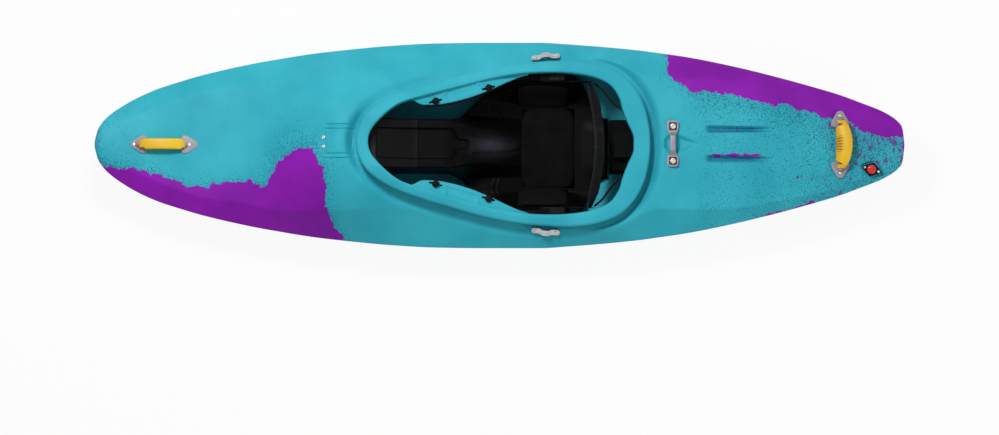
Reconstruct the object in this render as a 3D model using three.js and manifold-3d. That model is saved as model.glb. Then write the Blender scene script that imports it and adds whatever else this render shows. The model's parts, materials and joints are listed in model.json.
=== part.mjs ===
// Whitewater kayak: a one-piece moulded hull with its cockpit fittings, seat, braces, footrest and deck fittings.
// Units are millimetres and +Z is up. The bow is at -X, the stern at +X and starboard at +Y.
// The origin is on the ground, below the middle of the hull.

import * as THREE from 'three';
import { mergeVertices } from 'three/addons/utils/BufferGeometryUtils.js';
import Module from 'manifold-3d';

const wasm = await Module();
wasm.setup();

// Driving dimensions of the hull
const HULL_LENGTH = 2400;
const HULL_BEAM = 613;
const HULL_HEIGHT = 325;
const HULL_WALL = 6;
const CHINE_ROUND = 28;
const SEAM_ROUND = 7;
const SHOULDER_ROUND = 16;
const CLEARANCE = 0.3;
const CUT_OVERRUN = 8;

// Driving dimensions of the cockpit and its rim
const COCKPIT_LENGTH = 872;
const SIDE_DECK_WIDTH = 60.5;
const LIP_THICKNESS = 20;
const LIP_DROP = 3;
const LIP_ROUND = 4;
const RISER_THICKNESS = 8;
const SKIRT_GAP = 12;
const TRENCH_WIDTH = 9;
const TRENCH_SLOPE = 17;
const HOOK_THICKNESS = 7;

// Driving dimensions of the grab handles
const GRIP_WIDTH = 32;
const GRIP_THICKNESS = 13;
const BOW_GRIP_SPAN = 137;
const BOW_GRIP_RISE = 36;
const STERN_GRIP_SPAN = 143;
const STERN_GRIP_RISE = 36;
const STERN_GRIP_LEAN = 20;
const HANDLE_PLATE_LENGTH = 50;
const HANDLE_PLATE_WIDTH = 55;
const HANDLE_PLATE_THICKNESS = 5;
const KNUCKLE_RADIUS = 8;
const KNUCKLE_LENGTH = 6.5;
const BOW_FRONT_OVERLAP = 25.8;
const BOW_REAR_OVERLAP = 11.8;
const STERN_OVERLAP = 21.5;

// Driving dimensions of the deck fittings
const SCREW_HEAD_RADIUS = 6;
const SCREW_HEAD_HEIGHT = 3;
const SCREW_SHANK_RADIUS = 2.5;
const SCREW_SHANK_LENGTH = 16;
const BOLT_HEAD_RADIUS = 9;
const BOLT_HEAD_HEIGHT = 5.5;
const BOLT_SHANK_RADIUS = 4;
const BOLT_SHANK_LENGTH = 26;
const BAR_SPAN = 103;
const BAR_FOOT = 34;
const BAR_WAIST = 15;
const BAR_THICKNESS = 7;
const BAR_RISE = 19;
const BAR_SETBACK = 66.8;
const BROACH_BAR_LENGTH = 84;
const BROACH_BAR_WIDTH = 20;
const BROACH_BAR_THICKNESS = 5;
const BROACH_BAR_RISE = 13;
const BROACH_BOLT_SPAN = 62;
const DRAIN_PLATE_LENGTH = 64;
const DRAIN_PLATE_WIDTH = 46;
const DRAIN_PLATE_THICKNESS = 5;
const DRAIN_CAP_RADIUS = 14;
const DRAIN_CAP_HEIGHT = 9;
const DRAIN_STEM_RADIUS = 8;
const DRAIN_STEM_LENGTH = 16;
const GASKET_THICKNESS = 2;
const DRAIN_SCREW_SPAN = 42;

// Driving dimensions of the seat, pillars and back support
const SEAT_FLOOR_HEIGHT = 34;
const SEAT_HIP_HEIGHT = 182;
const SEAT_BEAM_WIDTH = 148;
const SEAT_BEAM_HEIGHT = 228;
const SEAT_SIDE_GAP = 34;
const SEAT_WALL = 8;
const SEAT_PAD_THICKNESS = 11;
const HIP_PAD_THICKNESS = 24;
const PILLAR_WIDTH = 148;
const PILLAR_RECESS = 12;
const REAR_PILLAR_WIDTH = 74;
const REAR_PILLAR_STEP = 40;
const BAND_SIDE_GAP = 26;
const BAND_HEIGHT = 122;
const BAND_THICKNESS = 28;
const BAND_BOW = 30;
const BAND_PIVOT_HEIGHT = 176;
const BAND_TAB_WIDTH = 110;
const BAND_TAB_HEIGHT = 34;
const STRAP_WIDTH = 20;
const STRAP_THICKNESS = 3;
const CORD_DIAMETER = 6;
const RATCHET_LENGTH = 66;
const RATCHET_WIDTH = 26;
const RATCHET_HEIGHT = 14;
const RATCHET_LEVER_LENGTH = 72;
const RATCHET_PIN_RADIUS = 4;

// Driving dimensions of the thigh braces
const BRACE_THICKNESS = 7;
const BRACE_OVERHANG = 5;
const BRACE_TRAVEL = 36;
const STUD_RADIUS = 3.5;
const STUD_SPAN = 165;
const KNOB_RADIUS = 11;
const KNOB_HEIGHT = 11;
const KNOB_LOBE_DEPTH = 1.2;

// Driving dimensions of the footrest
const FOOT_SIDE_GAP = 33.8;
const FOOT_PLATE_HEIGHT = 112;
const FOOT_PLATE_THICKNESS = 12;
const FOOT_PAD_THICKNESS = 28;
const FOOT_PLATE_LOW = 62;
const ARM_HEIGHT = 25;
const ARM_THICKNESS = 5;
const ARM_INSET = 12;
const BRACKET_LENGTH = 128;
const BRACKET_HEIGHT = 40;
const BRACKET_WEB = 6;
const SIDE_BOLT_SPACING = 91;

// Places along the hull, as shares of half its length from the middle, bow negative
const cockpitStationShare = 0.009;
const bowHandleStationShare = -0.834;
const sternHandleStationShare = 0.841;
const broachStationShare = 0.114;
const broachBevelShare = 0.84;
const drainStationShare = 0.919;
const drainOffsetShare = -0.24;
const deckScrewStationShare = -0.4345;
const deckScrewOffsetShare = 0.045;
const sideBoltStationShare = -0.258;
const bowPillarEndShares = [-0.93, -0.7];
const frontPillarEndShares = [-0.43, -0.2];
const rearPillarEndShares = [0.282, 0.72];
const rearPillarShoulderShare = 0.345;
const backBandStationShare = 0.247;
const ratchetStationShare = 0.135;
const hipPadEndShares = [0.045, 0.168];
const seatPadEndShares = [0.055, 0.185];
const footPlateStationShare = -0.585;

// Hull sections from bow to stern. Each row holds the station as a share of half the length; then, as shares of
// half the beam, the half widths at the seam, the shoulder and the chine; then, as shares of the height,
// the levels of the keel, the seam, the shoulder and the middle of the deck.
const hullSectionShares = [
  [-1, 0.06, 0.04, 0.03, 0.585, 0.6, 0.612, 0.617],
  [-0.9877, 0.179, 0.12, 0.1, 0.55, 0.592, 0.622, 0.631],
  [-0.968, 0.273, 0.17, 0.17, 0.497, 0.572, 0.612, 0.627],
  [-0.938, 0.362, 0.225, 0.24, 0.428, 0.54, 0.6, 0.618],
  [-0.889, 0.473, 0.29, 0.325, 0.334, 0.503, 0.585, 0.602],
  [-0.84, 0.556, 0.37, 0.395, 0.268, 0.492, 0.575, 0.59],
  [-0.79, 0.619, 0.445, 0.45, 0.213, 0.488, 0.568, 0.582],
  [-0.741, 0.676, 0.505, 0.5, 0.17, 0.486, 0.566, 0.58],
  [-0.691, 0.725, 0.54, 0.54, 0.136, 0.483, 0.57, 0.59],
  [-0.642, 0.768, 0.565, 0.575, 0.11, 0.48, 0.582, 0.612],
  [-0.593, 0.807, 0.605, 0.61, 0.086, 0.475, 0.602, 0.655],
  [-0.543, 0.841, 0.645, 0.64, 0.067, 0.47, 0.632, 0.735],
  [-0.494, 0.873, 0.655, 0.67, 0.053, 0.465, 0.667, 0.812],
  [-0.444, 0.901, 0.655, 0.69, 0.043, 0.46, 0.702, 0.885],
  [-0.395, 0.923, 0.648, 0.71, 0.035, 0.457, 0.73, 0.945],
  [-0.346, 0.943, 0.64, 0.725, 0.027, 0.455, 0.735, 0.953],
  [-0.296, 0.962, 0.635, 0.735, 0.019, 0.455, 0.725, 0.93],
  [-0.247, 0.976, 0.632, 0.74, 0.011, 0.455, 0.71, 0.88],
  [-0.167, 0.993, 0.65, 0.745, 0, 0.455, 0.687, 0.805],
  [-0.04, 1, 0.7, 0.75, 0, 0.455, 0.655, 0.7],
  [0.03, 1, 0.75, 0.75, 0, 0.455, 0.64, 0.672],
  [0.1, 1, 0.8, 0.75, 0, 0.455, 0.635, 0.66],
  [0.173, 0.983, 0.825, 0.74, 0.016, 0.458, 0.633, 0.655],
  [0.247, 0.961, 0.825, 0.73, 0.034, 0.465, 0.635, 0.66],
  [0.3, 0.942, 0.775, 0.715, 0.046, 0.472, 0.638, 0.67],
  [0.346, 0.923, 0.68, 0.7, 0.058, 0.48, 0.64, 0.68],
  [0.395, 0.897, 0.63, 0.68, 0.076, 0.486, 0.643, 0.682],
  [0.444, 0.87, 0.63, 0.66, 0.097, 0.492, 0.64, 0.675],
  [0.494, 0.836, 0.635, 0.63, 0.118, 0.498, 0.63, 0.665],
  [0.593, 0.754, 0.615, 0.565, 0.172, 0.497, 0.605, 0.632],
  [0.691, 0.659, 0.545, 0.49, 0.236, 0.491, 0.577, 0.598],
  [0.79, 0.552, 0.46, 0.405, 0.311, 0.489, 0.556, 0.572],
  [0.84, 0.493, 0.4, 0.36, 0.354, 0.49, 0.549, 0.562],
  [0.889, 0.422, 0.335, 0.3, 0.397, 0.491, 0.541, 0.553],
  [0.938, 0.348, 0.27, 0.235, 0.437, 0.492, 0.533, 0.543],
  [0.968, 0.285, 0.21, 0.18, 0.455, 0.494, 0.526, 0.534],
  [0.9877, 0.215, 0.15, 0.13, 0.468, 0.495, 0.519, 0.525],
  [1, 0.06, 0.04, 0.03, 0.485, 0.497, 0.508, 0.511],
];
const innerFirstShare = -0.968;
const innerLastShare = 0.968;

// Cockpit rim from the front to the back. Each row holds the inner and then the outer edge, as shares of half the
// cockpit's length and half its width.
const rimOutlineShares = [
  [-0.918, 0, -1, 0],
  [-0.905, 0.12, -0.99, 0.133],
  [-0.847, 0.259, -0.935, 0.331],
  [-0.711, 0.458, -0.793, 0.518],
  [-0.534, 0.56, -0.582, 0.663],
  [-0.331, 0.66, -0.358, 0.778],
  [-0.093, 0.771, -0.113, 0.892],
  [0.111, 0.837, 0.098, 0.96],
  [0.301, 0.858, 0.301, 0.995],
  [0.485, 0.843, 0.498, 1],
  [0.634, 0.789, 0.675, 0.946],
  [0.73, 0.699, 0.797, 0.849],
  [0.787, 0.554, 0.899, 0.663],
  [0.811, 0.41, 0.964, 0.434],
  [0.848, 0.241, 0.991, 0.217],
  [0.884, 0.096, 0.999, 0.096],
  [0.886, 0, 1, 0],
];

// Level of the rim's top as shares of the hull's height, against the share of half the cockpit's length
const rimTopShares = [
  [-1, 0.985],
  [-0.93, 1],
  [-0.85, 0.975],
  [-0.7, 0.915],
  [-0.44, 0.85],
  [-0.3, 0.803],
  [-0.15, 0.765],
  [0, 0.747],
  [0.3, 0.737],
  [0.65, 0.737],
  [0.9, 0.73],
  [1, 0.72],
];

// Inner edge of the thigh hooks as shares of half the cockpit's length and half its width
const hookEdgeShares = [
  [-0.68, 0.455],
  [-0.6, 0.457],
  [-0.53, 0.455],
  [-0.46, 0.458],
  [-0.36, 0.485],
  [-0.23, 0.548],
  [-0.09, 0.644],
  [0.04, 0.75],
  [0.12, 0.807],
  [0.2, 0.845],
];
const hookStartShare = -0.66;
const hookEndShare = 0.17;
const hookLevelShares = [0.812, 0.715];
const studPlaceShares = [-0.459, 0.5];
const studEndPlaceShares = [-0.087, 0.675];

// Corners of the footrest plate, as shares of its width and height
const footPlateCornerShares = [
  [-0.36, -0.5],
  [0.36, -0.5],
  [0.5, 0],
  [0.46, 0.5],
  [-0.46, 0.5],
  [-0.5, 0],
];
const footPadShare = 0.9;

// Corners of a handle plate from its square end, as shares of its length and width
const handlePlateCornerShares = [
  [-0.5, -0.45],
  [-0.5, 0.45],
  [0.1, 0.5],
  [0.5, 0.15],
  [0.5, -0.15],
  [0.1, -0.5],
];

// Counts of sides and steps
const FLAT_SIDES = 8;
const BOLT_SIDES = 10;
const ROUND_SIDES = 16;
const RIM_STEPS = 64;
const HOOK_STEPS = 14;
const BRACE_STEPS = 10;
const GRIP_STEPS = 14;
const GRIP_SIDES = 12;
const PILLAR_STEPS = 8;
const BAND_STEPS = 14;
const CORD_STEPS = 10;
const KNOB_LOBES = 6;
const LOBE_STEPS = 4;

const halfLength = HULL_LENGTH / 2;
const halfBeam = HULL_BEAM / 2;
const cockpitCentre = cockpitStationShare * halfLength;
const halfCockpit = COCKPIT_LENGTH / 2;
const halfCockpitWidth = halfBeam - SIDE_DECK_WIDTH;
const seatHipWidth = (halfCockpitWidth - SEAT_SIDE_GAP) * 2;
const rimRise = LIP_THICKNESS + SKIRT_GAP;

// Smooth value of one column of a share table, with no overshoot between its rows
function follow(rows, at, column) {
  const last = rows.length - 1;
  const key = Math.min(Math.max(at, rows[0][0]), rows[last][0]);
  let i = 0;
  while (i < last - 1 && key > rows[i + 1][0]) i += 1;
  const slopeOf = k => (rows[k + 1][column] - rows[k][column]) / (rows[k + 1][0] - rows[k][0]);
  const tangentOf = k => {
    if (k === 0 || k === last) return slopeOf(Math.min(k, last - 1));
    const before = slopeOf(k - 1);
    const after = slopeOf(k);
    return before * after <= 0 ? 0 : (2 * before * after) / (before + after);
  };
  const span = rows[i + 1][0] - rows[i][0];
  const t = (key - rows[i][0]) / span;
  const keep = (1 + 2 * t) * (1 - t) ** 2;
  const leave = t * (1 - t) ** 2;
  const arrive = t * t * (t - 1);
  const ends = keep * rows[i][column] + (1 - keep) * rows[i + 1][column];
  return ends + span * (leave * tangentOf(i) + arrive * tangentOf(i + 1));
}

function smooth(from, to, value) {
  return THREE.MathUtils.smoothstep(value, from, to);
}

function mix(from, to, share) {
  return from + (to - from) * share;
}

// Solids
function solidOf(geometry) {
  const plain = geometry.clone();
  plain.deleteAttribute('normal');
  plain.deleteAttribute('uv');
  const merged = mergeVertices(plain);
  const mesh = new wasm.Mesh({
    numProp: 3,
    vertProperties: new Float32Array(merged.attributes.position.array),
    triVerts: new Uint32Array(merged.index.array),
  });
  return new wasm.Manifold(mesh);
}

function geometryOf(solid) {
  const mesh = solid.getMesh();
  const geometry = new THREE.BufferGeometry();
  geometry.setAttribute('position', new THREE.BufferAttribute(new Float32Array(mesh.vertProperties), 3));
  geometry.setIndex(new THREE.BufferAttribute(new Uint32Array(mesh.triVerts), 1));
  geometry.computeVertexNormals();
  return geometry;
}

function signedVolume(points, triangles) {
  let total = 0;
  for (let i = 0; i < triangles.length; i += 3) {
    const [a, b, c] = [points[triangles[i]], points[triangles[i + 1]], points[triangles[i + 2]]];
    total += a.dot(new THREE.Vector3().crossVectors(b, c));
  }
  return total;
}

function closedGeometry(points, triangles) {
  const turned = signedVolume(points, triangles) < 0;
  const ordered = turned ? [...triangles].reverse() : triangles;
  const geometry = new THREE.BufferGeometry();
  geometry.setFromPoints(points);
  geometry.setIndex(ordered);
  return geometry;
}

// Triangles between neighbours in a row of rings with equal numbers of points
function bandTriangles(rings, bands) {
  const count = rings[0].length;
  const triangles = [];
  for (let band = 0; band < bands; band += 1) {
    const next = (band + 1) % rings.length;
    for (let i = 0; i < count; i += 1) {
      const j = (i + 1) % count;
      const corners = [band * count + i, band * count + j, next * count + j, next * count + i];
      triangles.push(corners[0], corners[1], corners[2], corners[0], corners[2], corners[3]);
    }
  }
  return triangles;
}

// Closed skin over a row of rings, each end capped by a fan about its middle
function loft(rings) {
  const count = rings[0].length;
  const points = rings.flat();
  const triangles = bandTriangles(rings, rings.length - 1);
  const lastRing = (rings.length - 1) * count;
  for (const [first, isFront] of [[0, true], [lastRing, false]]) {
    const centre = new THREE.Vector3();
    for (let i = 0; i < count; i += 1) centre.addScaledVector(points[first + i], 1 / count);
    points.push(centre);
    for (let i = 0; i < count; i += 1) {
      const edge = [first + i, first + (i + 1) % count];
      if (isFront) edge.reverse();
      triangles.push(edge[0], edge[1], points.length - 1);
    }
  }
  return closedGeometry(points, triangles);
}

// Closed skin over rings that run round and meet
function loftLoop(rings) {
  return closedGeometry(rings.flat(), bandTriangles(rings, rings.length));
}

// Closed skin over rings of a top and a bottom half, each end closed by strips between the halves
function loftLayer(rings, columns) {
  const count = rings[0].length;
  const triangles = bandTriangles(rings, rings.length - 1);
  const lastRing = (rings.length - 1) * count;
  for (const [first, isFront] of [[0, true], [lastRing, false]]) {
    for (let i = 0; i < columns; i += 1) {
      const quad = [first + i, first + i + 1, first + count - 2 - i, first + count - 1 - i];
      if (isFront) quad.reverse();
      triangles.push(quad[0], quad[1], quad[2], quad[0], quad[2], quad[3]);
    }
  }
  return closedGeometry(rings.flat(), triangles);
}

// Outline through the corners given, each rounded by the same amount
function roundedShape(corners, round) {
  const shape = new THREE.Shape();
  corners.forEach((corner, i) => {
    const here = new THREE.Vector2(...corner);
    const before = new THREE.Vector2(...corners.at(i - 1));
    const after = new THREE.Vector2(...corners[(i + 1) % corners.length]);
    const enter = here.clone().addScaledVector(before.sub(here).normalize(), round);
    const leave = here.clone().addScaledVector(after.sub(here).normalize(), round);
    if (i === 0) shape.moveTo(enter.x, enter.y);
    else shape.lineTo(enter.x, enter.y);
    shape.quadraticCurveTo(here.x, here.y, leave.x, leave.y);
  });
  return shape;
}

function extruded(shape, depth, curveSegments = 3) {
  return new THREE.ExtrudeGeometry(shape, { depth, curveSegments, bevelEnabled: false });
}

// Flat rounded plate that lies on Z = 0 and reaches up by its thickness
function plateGeometry(corners, round, thickness) {
  return extruded(roundedShape(corners, round), thickness);
}

function rectangleCorners(length, width) {
  return [
    [-length / 2, -width / 2],
    [length / 2, -width / 2],
    [length / 2, width / 2],
    [-length / 2, width / 2],
  ];
}

// Round bar along Z from one level to another
function barGeometry(radius, from, to, sides = FLAT_SIDES) {
  const geometry = new THREE.CylinderGeometry(radius, radius, to - from, sides);
  geometry.rotateX(Math.PI / 2);
  geometry.translate(0, 0, (from + to) / 2);
  return geometry;
}

// Tool for a hole that a round bar of the radius given passes through
function holeGeometry(radius, from, to, sides = FLAT_SIDES) {
  return barGeometry((radius + CLEARANCE) / Math.cos(Math.PI / sides), from, to, sides);
}

// Domed head on Z = 0 over a shank that reaches down
function boltGeometry(headRadius, headHeight, shankRadius, shankLength) {
  const profile = [
    new THREE.Vector2(0, -shankLength),
    new THREE.Vector2(shankRadius, -shankLength),
    new THREE.Vector2(shankRadius, 0),
    new THREE.Vector2(headRadius, 0),
    new THREE.Vector2(headRadius * 0.85, headHeight * 0.7),
    new THREE.Vector2(0, headHeight),
  ];
  const geometry = new THREE.LatheGeometry(profile, BOLT_SIDES);
  geometry.rotateX(Math.PI / 2);
  return geometry;
}

// Hull form
function hullRow(x) {
  const station = x / halfLength;
  const value = column => follow(hullSectionShares, station, column);
  return {
    seamY: value(1) * halfBeam,
    shoulderY: value(2) * halfBeam,
    chineY: value(3) * halfBeam,
    keelZ: value(4) * HULL_HEIGHT,
    seamZ: value(5) * HULL_HEIGHT,
    shoulderZ: value(6) * HULL_HEIGHT,
    deckZ: value(7) * HULL_HEIGHT,
  };
}

function crownZ(row, y) {
  return mix(row.deckZ, row.shoulderZ, (y / row.shoulderY) ** 2);
}

// Three points that round a corner between two neighbours
function roundCorner(before, corner, after, reach) {
  const towards = (to, share) => {
    const limit = Math.min(reach, corner.distanceTo(to) * 0.4);
    return corner.clone().addScaledVector(to.clone().sub(corner).normalize(), limit * share);
  };
  const middle = towards(before, 0.25).add(towards(after, 0.25)).multiplyScalar(0.5);
  return [towards(before, 1), middle, towards(after, 1)];
}

// Half of a hull section from the keel to the middle of the deck
function halfSection(x) {
  const row = hullRow(x);
  const keel = new THREE.Vector2(row.chineY * 0.55, row.keelZ);
  const chine = new THREE.Vector2(row.chineY, row.keelZ);
  const seam = new THREE.Vector2(row.seamY, row.seamZ);
  const shoulder = new THREE.Vector2(row.shoulderY, row.shoulderZ);
  const deck = new THREE.Vector2(row.shoulderY * 0.66, crownZ(row, row.shoulderY * 0.66));
  const inner = new THREE.Vector2(row.shoulderY * 0.33, crownZ(row, row.shoulderY * 0.33));
  return [
    new THREE.Vector2(0, row.keelZ),
    keel,
    ...roundCorner(keel, chine, seam, CHINE_ROUND),
    ...roundCorner(chine, seam, shoulder, SEAM_ROUND),
    ...roundCorner(seam, shoulder, deck, SHOULDER_ROUND),
    deck,
    inner,
    new THREE.Vector2(0, row.deckZ),
  ];
}

// Whole hull section, moved outwards by the growth given
function hullRing(x, growth) {
  const half = halfSection(x);
  const loop = half.concat(half.slice(1, -1).reverse().map(p => new THREE.Vector2(-p.x, p.y)));
  return loop.map((point, i) => {
    const before = point.clone().sub(loop.at(i - 1)).normalize();
    const after = loop[(i + 1) % loop.length].clone().sub(point).normalize();
    const outward = new THREE.Vector2(before.y + after.y, -before.x - after.x);
    outward.divideScalar(1 + before.dot(after));
    return new THREE.Vector3(x, point.x + outward.x * growth, point.y + outward.y * growth);
  });
}

function hullForm(growth, firstShare, lastShare) {
  const stations = hullSectionShares.map(row => row[0]);
  const kept = stations.filter(station => station >= firstShare && station <= lastShare);
  return solidOf(loft(kept.map(station => hullRing(station * halfLength, growth))));
}

// Cockpit rim
function rimTopZ(x) {
  return follow(rimTopShares, (x - cockpitCentre) / halfCockpit, 1) * HULL_HEIGHT;
}

function rimEdge(columnX, columnY) {
  const side = rimOutlineShares.map(row => [row[columnX], row[columnY]]);
  const mirrored = side.slice(1, -1).reverse().map(([u, v]) => [u, -v]);
  const places = side.concat(mirrored).map(([u, v]) => {
    return new THREE.Vector3(cockpitCentre + u * halfCockpit, v * halfCockpitWidth, 0);
  });
  return new THREE.CatmullRomCurve3(places, true, 'centripetal');
}

const innerEdge = rimEdge(0, 1).getPoints(RIM_STEPS).slice(0, RIM_STEPS);
const outerEdge = rimEdge(2, 3).getPoints(RIM_STEPS).slice(0, RIM_STEPS);

// Drop from the rim's top to the riser's foot, which goes deeper where the deck falls away from it
function footDrop(inner, topZ) {
  const row = hullRow(inner.x);
  const deckZ = mix(row.deckZ, row.shoulderZ, (inner.y / row.shoulderY) ** 2);
  return Math.max(rimRise + HULL_WALL, topZ - deckZ + HULL_WALL * 1.5);
}

// Ring around the cockpit. Each profile point is an edge, a distance out from it and a level below the rim's top.
function rimRing(profile) {
  const rings = innerEdge.map((inner, i) => {
    const outer = outerEdge[i];
    const out = outer.clone().sub(inner).normalize();
    const topZ = rimTopZ(outer.x);
    return profile.map(([edge, distance, drop]) => {
      const point = (edge === 'inner' ? inner : outer).clone().addScaledVector(out, distance);
      return point.setZ(topZ - (drop === 'foot' ? footDrop(inner, topZ) : drop));
    });
  });
  return solidOf(loftLoop(rings));
}

// Lip on its riser, grown by the clearance where something else stays clear of it
function rimSolid(growth) {
  return rimRing([
    ['inner', -growth, 'foot'],
    ['inner', -growth, LIP_ROUND],
    ['inner', LIP_ROUND, -growth],
    ['outer', -LIP_ROUND, LIP_DROP - growth],
    ['outer', growth, LIP_DROP + LIP_ROUND],
    ['outer', growth, LIP_THICKNESS - LIP_ROUND],
    ['outer', -LIP_ROUND, LIP_THICKNESS + growth],
    ['inner', RISER_THICKNESS + growth, LIP_THICKNESS + growth],
    ['inner', RISER_THICKNESS + growth, 'foot'],
  ]);
}

// Groove that the skirt's edge hangs in, grown by the wall under it
function trenchTool(growth, inset) {
  return rimRing([
    ['inner', RISER_THICKNESS - inset, rimRise + growth],
    ['inner', RISER_THICKNESS - inset, -HULL_HEIGHT],
    ['outer', TRENCH_WIDTH + TRENCH_SLOPE + growth + HULL_HEIGHT, -HULL_HEIGHT],
    ['outer', TRENCH_WIDTH + TRENCH_SLOPE + growth, 0],
    ['outer', TRENCH_WIDTH + growth, rimRise + growth],
  ]);
}

function mouthTool() {
  const outline = innerEdge.map((inner, i) => {
    const out = outerEdge[i].clone().sub(inner).normalize();
    const point = inner.clone().addScaledVector(out, RISER_THICKNESS / 2);
    return new THREE.Vector2(point.x, point.y);
  });
  const geometry = extruded(new THREE.Shape(outline), HULL_HEIGHT);
  const lowest = hullRow(cockpitCentre).seamZ;
  geometry.translate(0, 0, lowest);
  return solidOf(geometry);
}

// Thigh hooks: flat flanges that reach in from the rim, on one sloping plane
const hookStartX = cockpitCentre + hookStartShare * halfCockpit;
const hookEndX = cockpitCentre + hookEndShare * halfCockpit;
const studX = cockpitCentre + studPlaceShares[0] * halfCockpit;
const studY = studPlaceShares[1] * halfCockpitWidth;
const studEndY = studEndPlaceShares[1] * halfCockpitWidth;
const studEndX = cockpitCentre + studEndPlaceShares[0] * halfCockpit;
const hookSlope = ((hookLevelShares[1] - hookLevelShares[0]) * HULL_HEIGHT) / (studEndX - studX);

function hookTopZ(x) {
  return hookLevelShares[0] * HULL_HEIGHT + (x - studX) * hookSlope;
}

function hookInnerY(x) {
  return follow(hookEdgeShares, (x - cockpitCentre) / halfCockpit, 1) * halfCockpitWidth;
}

function rimInnerY(x) {
  const side = rimOutlineShares.slice(0, 11);
  return follow(side, (x - cockpitCentre) / halfCockpit, 1) * halfCockpitWidth;
}

function hookRing(x, innerY, outerY, topDrop, thickness, side) {
  const top = hookTopZ(x) - topDrop;
  return [
    new THREE.Vector3(x, side * innerY, top - thickness),
    new THREE.Vector3(x, side * innerY, top),
    new THREE.Vector3(x, side * outerY, top),
    new THREE.Vector3(x, side * outerY, top - thickness),
  ];
}

function hookSolid(side) {
  const rings = [];
  for (let step = 0; step <= HOOK_STEPS; step += 1) {
    const x = mix(hookStartX, hookEndX, step / HOOK_STEPS);
    const outerY = rimInnerY(x) + RISER_THICKNESS / 2;
    const innerY = Math.min(hookInnerY(x), outerY - CLEARANCE);
    rings.push(hookRing(x, innerY, outerY, 0, HOOK_THICKNESS, side));
  }
  return solidOf(loft(rings));
}

// Frame of a thigh brace: X along its slide, Z square to the hook's plane
const slideDirection = new THREE.Vector3(studEndX - studX, studEndY - studY, hookTopZ(studEndX) - hookTopZ(studX));
slideDirection.normalize();

function hookFrame(side, distance) {
  const along = slideDirection.clone();
  along.y *= side;
  const across = new THREE.Vector3(0, 1, 0);
  const up = new THREE.Vector3(-hookSlope, 0, 1).normalize();
  across.crossVectors(up, along).normalize();
  const base = new THREE.Vector3(studX, side * studY, hookTopZ(studX)).addScaledVector(along, distance);
  const matrix = new THREE.Matrix4().makeBasis(along, across, up);
  return matrix.setPosition(base);
}

const studDistances = [0, STUD_SPAN];

function slotTool(side, distance) {
  const radius = STUD_RADIUS + CLEARANCE * 2;
  const shape = new THREE.Shape();
  shape.absarc(BRACE_TRAVEL / 2, 0, radius, -Math.PI / 2, Math.PI / 2);
  shape.absarc(-BRACE_TRAVEL / 2, 0, radius, Math.PI / 2, Math.PI * 1.5);
  const geometry = extruded(shape, HOOK_THICKNESS + CUT_OVERRUN * 2, 4);
  geometry.translate(0, 0, -HOOK_THICKNESS - CUT_OVERRUN);
  geometry.applyMatrix4(hookFrame(side, distance));
  return solidOf(geometry);
}

// Frames on the hull's skin: +Z points out of the hull and +X runs aft
function skinFrame(x, place) {
  const step = CLEARANCE / 5;
  const at = (u, v) => new THREE.Vector3(u, ...place(hullRow(u), v));
  const origin = at(x, 0);
  const along = at(x + step, 0).sub(at(x - step, 0)).normalize();
  const around = at(x, step).sub(at(x, -step)).normalize();
  const out = new THREE.Vector3().crossVectors(along, around).normalize();
  const inside = new THREE.Vector3(x, 0, hullRow(x).seamZ);
  if (out.dot(origin.clone().sub(inside)) < 0) out.negate();
  const across = new THREE.Vector3().crossVectors(out, along).normalize();
  return new THREE.Matrix4().makeBasis(along, across, out).setPosition(origin);
}

function deckFrame(x, y) {
  return skinFrame(x, (row, v) => [y + v, crownZ(row, y + v)]);
}

// Place on the bevel between the seam and the shoulder
function bevelFrame(x, side, share) {
  return skinFrame(x, (row, v) => {
    const part = share + v / halfBeam;
    return [side * mix(row.seamY, row.shoulderY, part), mix(row.seamZ, row.shoulderZ, part)];
  });
}

// Place on the side wall between the chine and the seam
function wallFrame(x, side, share) {
  return skinFrame(x, (row, v) => {
    const part = share + v / halfBeam;
    return [side * mix(row.chineY, row.seamY, part), mix(row.keelZ, row.seamZ, part)];
  });
}

const outerForm = hullForm(0, -1, 1).subtract(trenchTool(0, 0));
const grownForm = hullForm(CLEARANCE, -1, 1).subtract(trenchTool(-CLEARANCE, 0));
const clearRim = rimSolid(CLEARANCE);
const clearForm = grownForm.add(clearRim);

function cavityForm(clearance) {
  const inner = hullForm(-HULL_WALL - clearance, innerFirstShare, innerLastShare);
  return inner.subtract(trenchTool(HULL_WALL + clearance, RISER_THICKNESS + CUT_OVERRUN));
}

const clearCavity = cavityForm(CLEARANCE);
const clearShell = grownForm.subtract(clearCavity).subtract(mouthTool()).add(clearRim);

// Solid that rests on the outside of the hull with a small gap
function onHull(geometry) {
  return solidOf(geometry).subtract(clearForm);
}

// Solid that fits inside the hull with a small gap
function inHull(geometry) {
  return solidOf(geometry).intersect(clearCavity);
}

// Solid that may stand in the cockpit's mouth, with a small gap to the hull
function besideHull(geometry) {
  return solidOf(geometry).subtract(clearShell);
}

// Model
const kayak = new THREE.Group();

function finish(color, roughness, metalness) {
  return new THREE.MeshStandardMaterial({ color, roughness, metalness });
}

const hullPlastic = finish('#3fb5c2', 0.45, 0);
const yellowRubber = finish('#f0be14', 0.5, 0);
const greyPlastic = finish('#8c8c96', 0.5, 0);
const blackPlastic = finish('#141414', 0.45, 0);
const blackFoam = finish('#1c1c1c', 0.9, 0);
const blackFabric = finish('#181818', 0.85, 0);
const redPlastic = finish('#d2232a', 0.35, 0);
const steel = finish('#b8b8b4', 0.3, 1);
const aluminium = finish('#c4c6c8', 0.4, 1);

function addMesh(name, geometry, material, matrix) {
  const mesh = new THREE.Mesh(geometry, material);
  mesh.name = name;
  if (matrix) matrix.decompose(mesh.position, mesh.quaternion, mesh.scale);
  kayak.add(mesh);
}

function addSolid(name, solid, material) {
  addMesh(name, geometryOf(solid), material);
}

// A small screw or bolt pushed into the hull, and the hole that it needs
const hullHoles = [];

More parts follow.
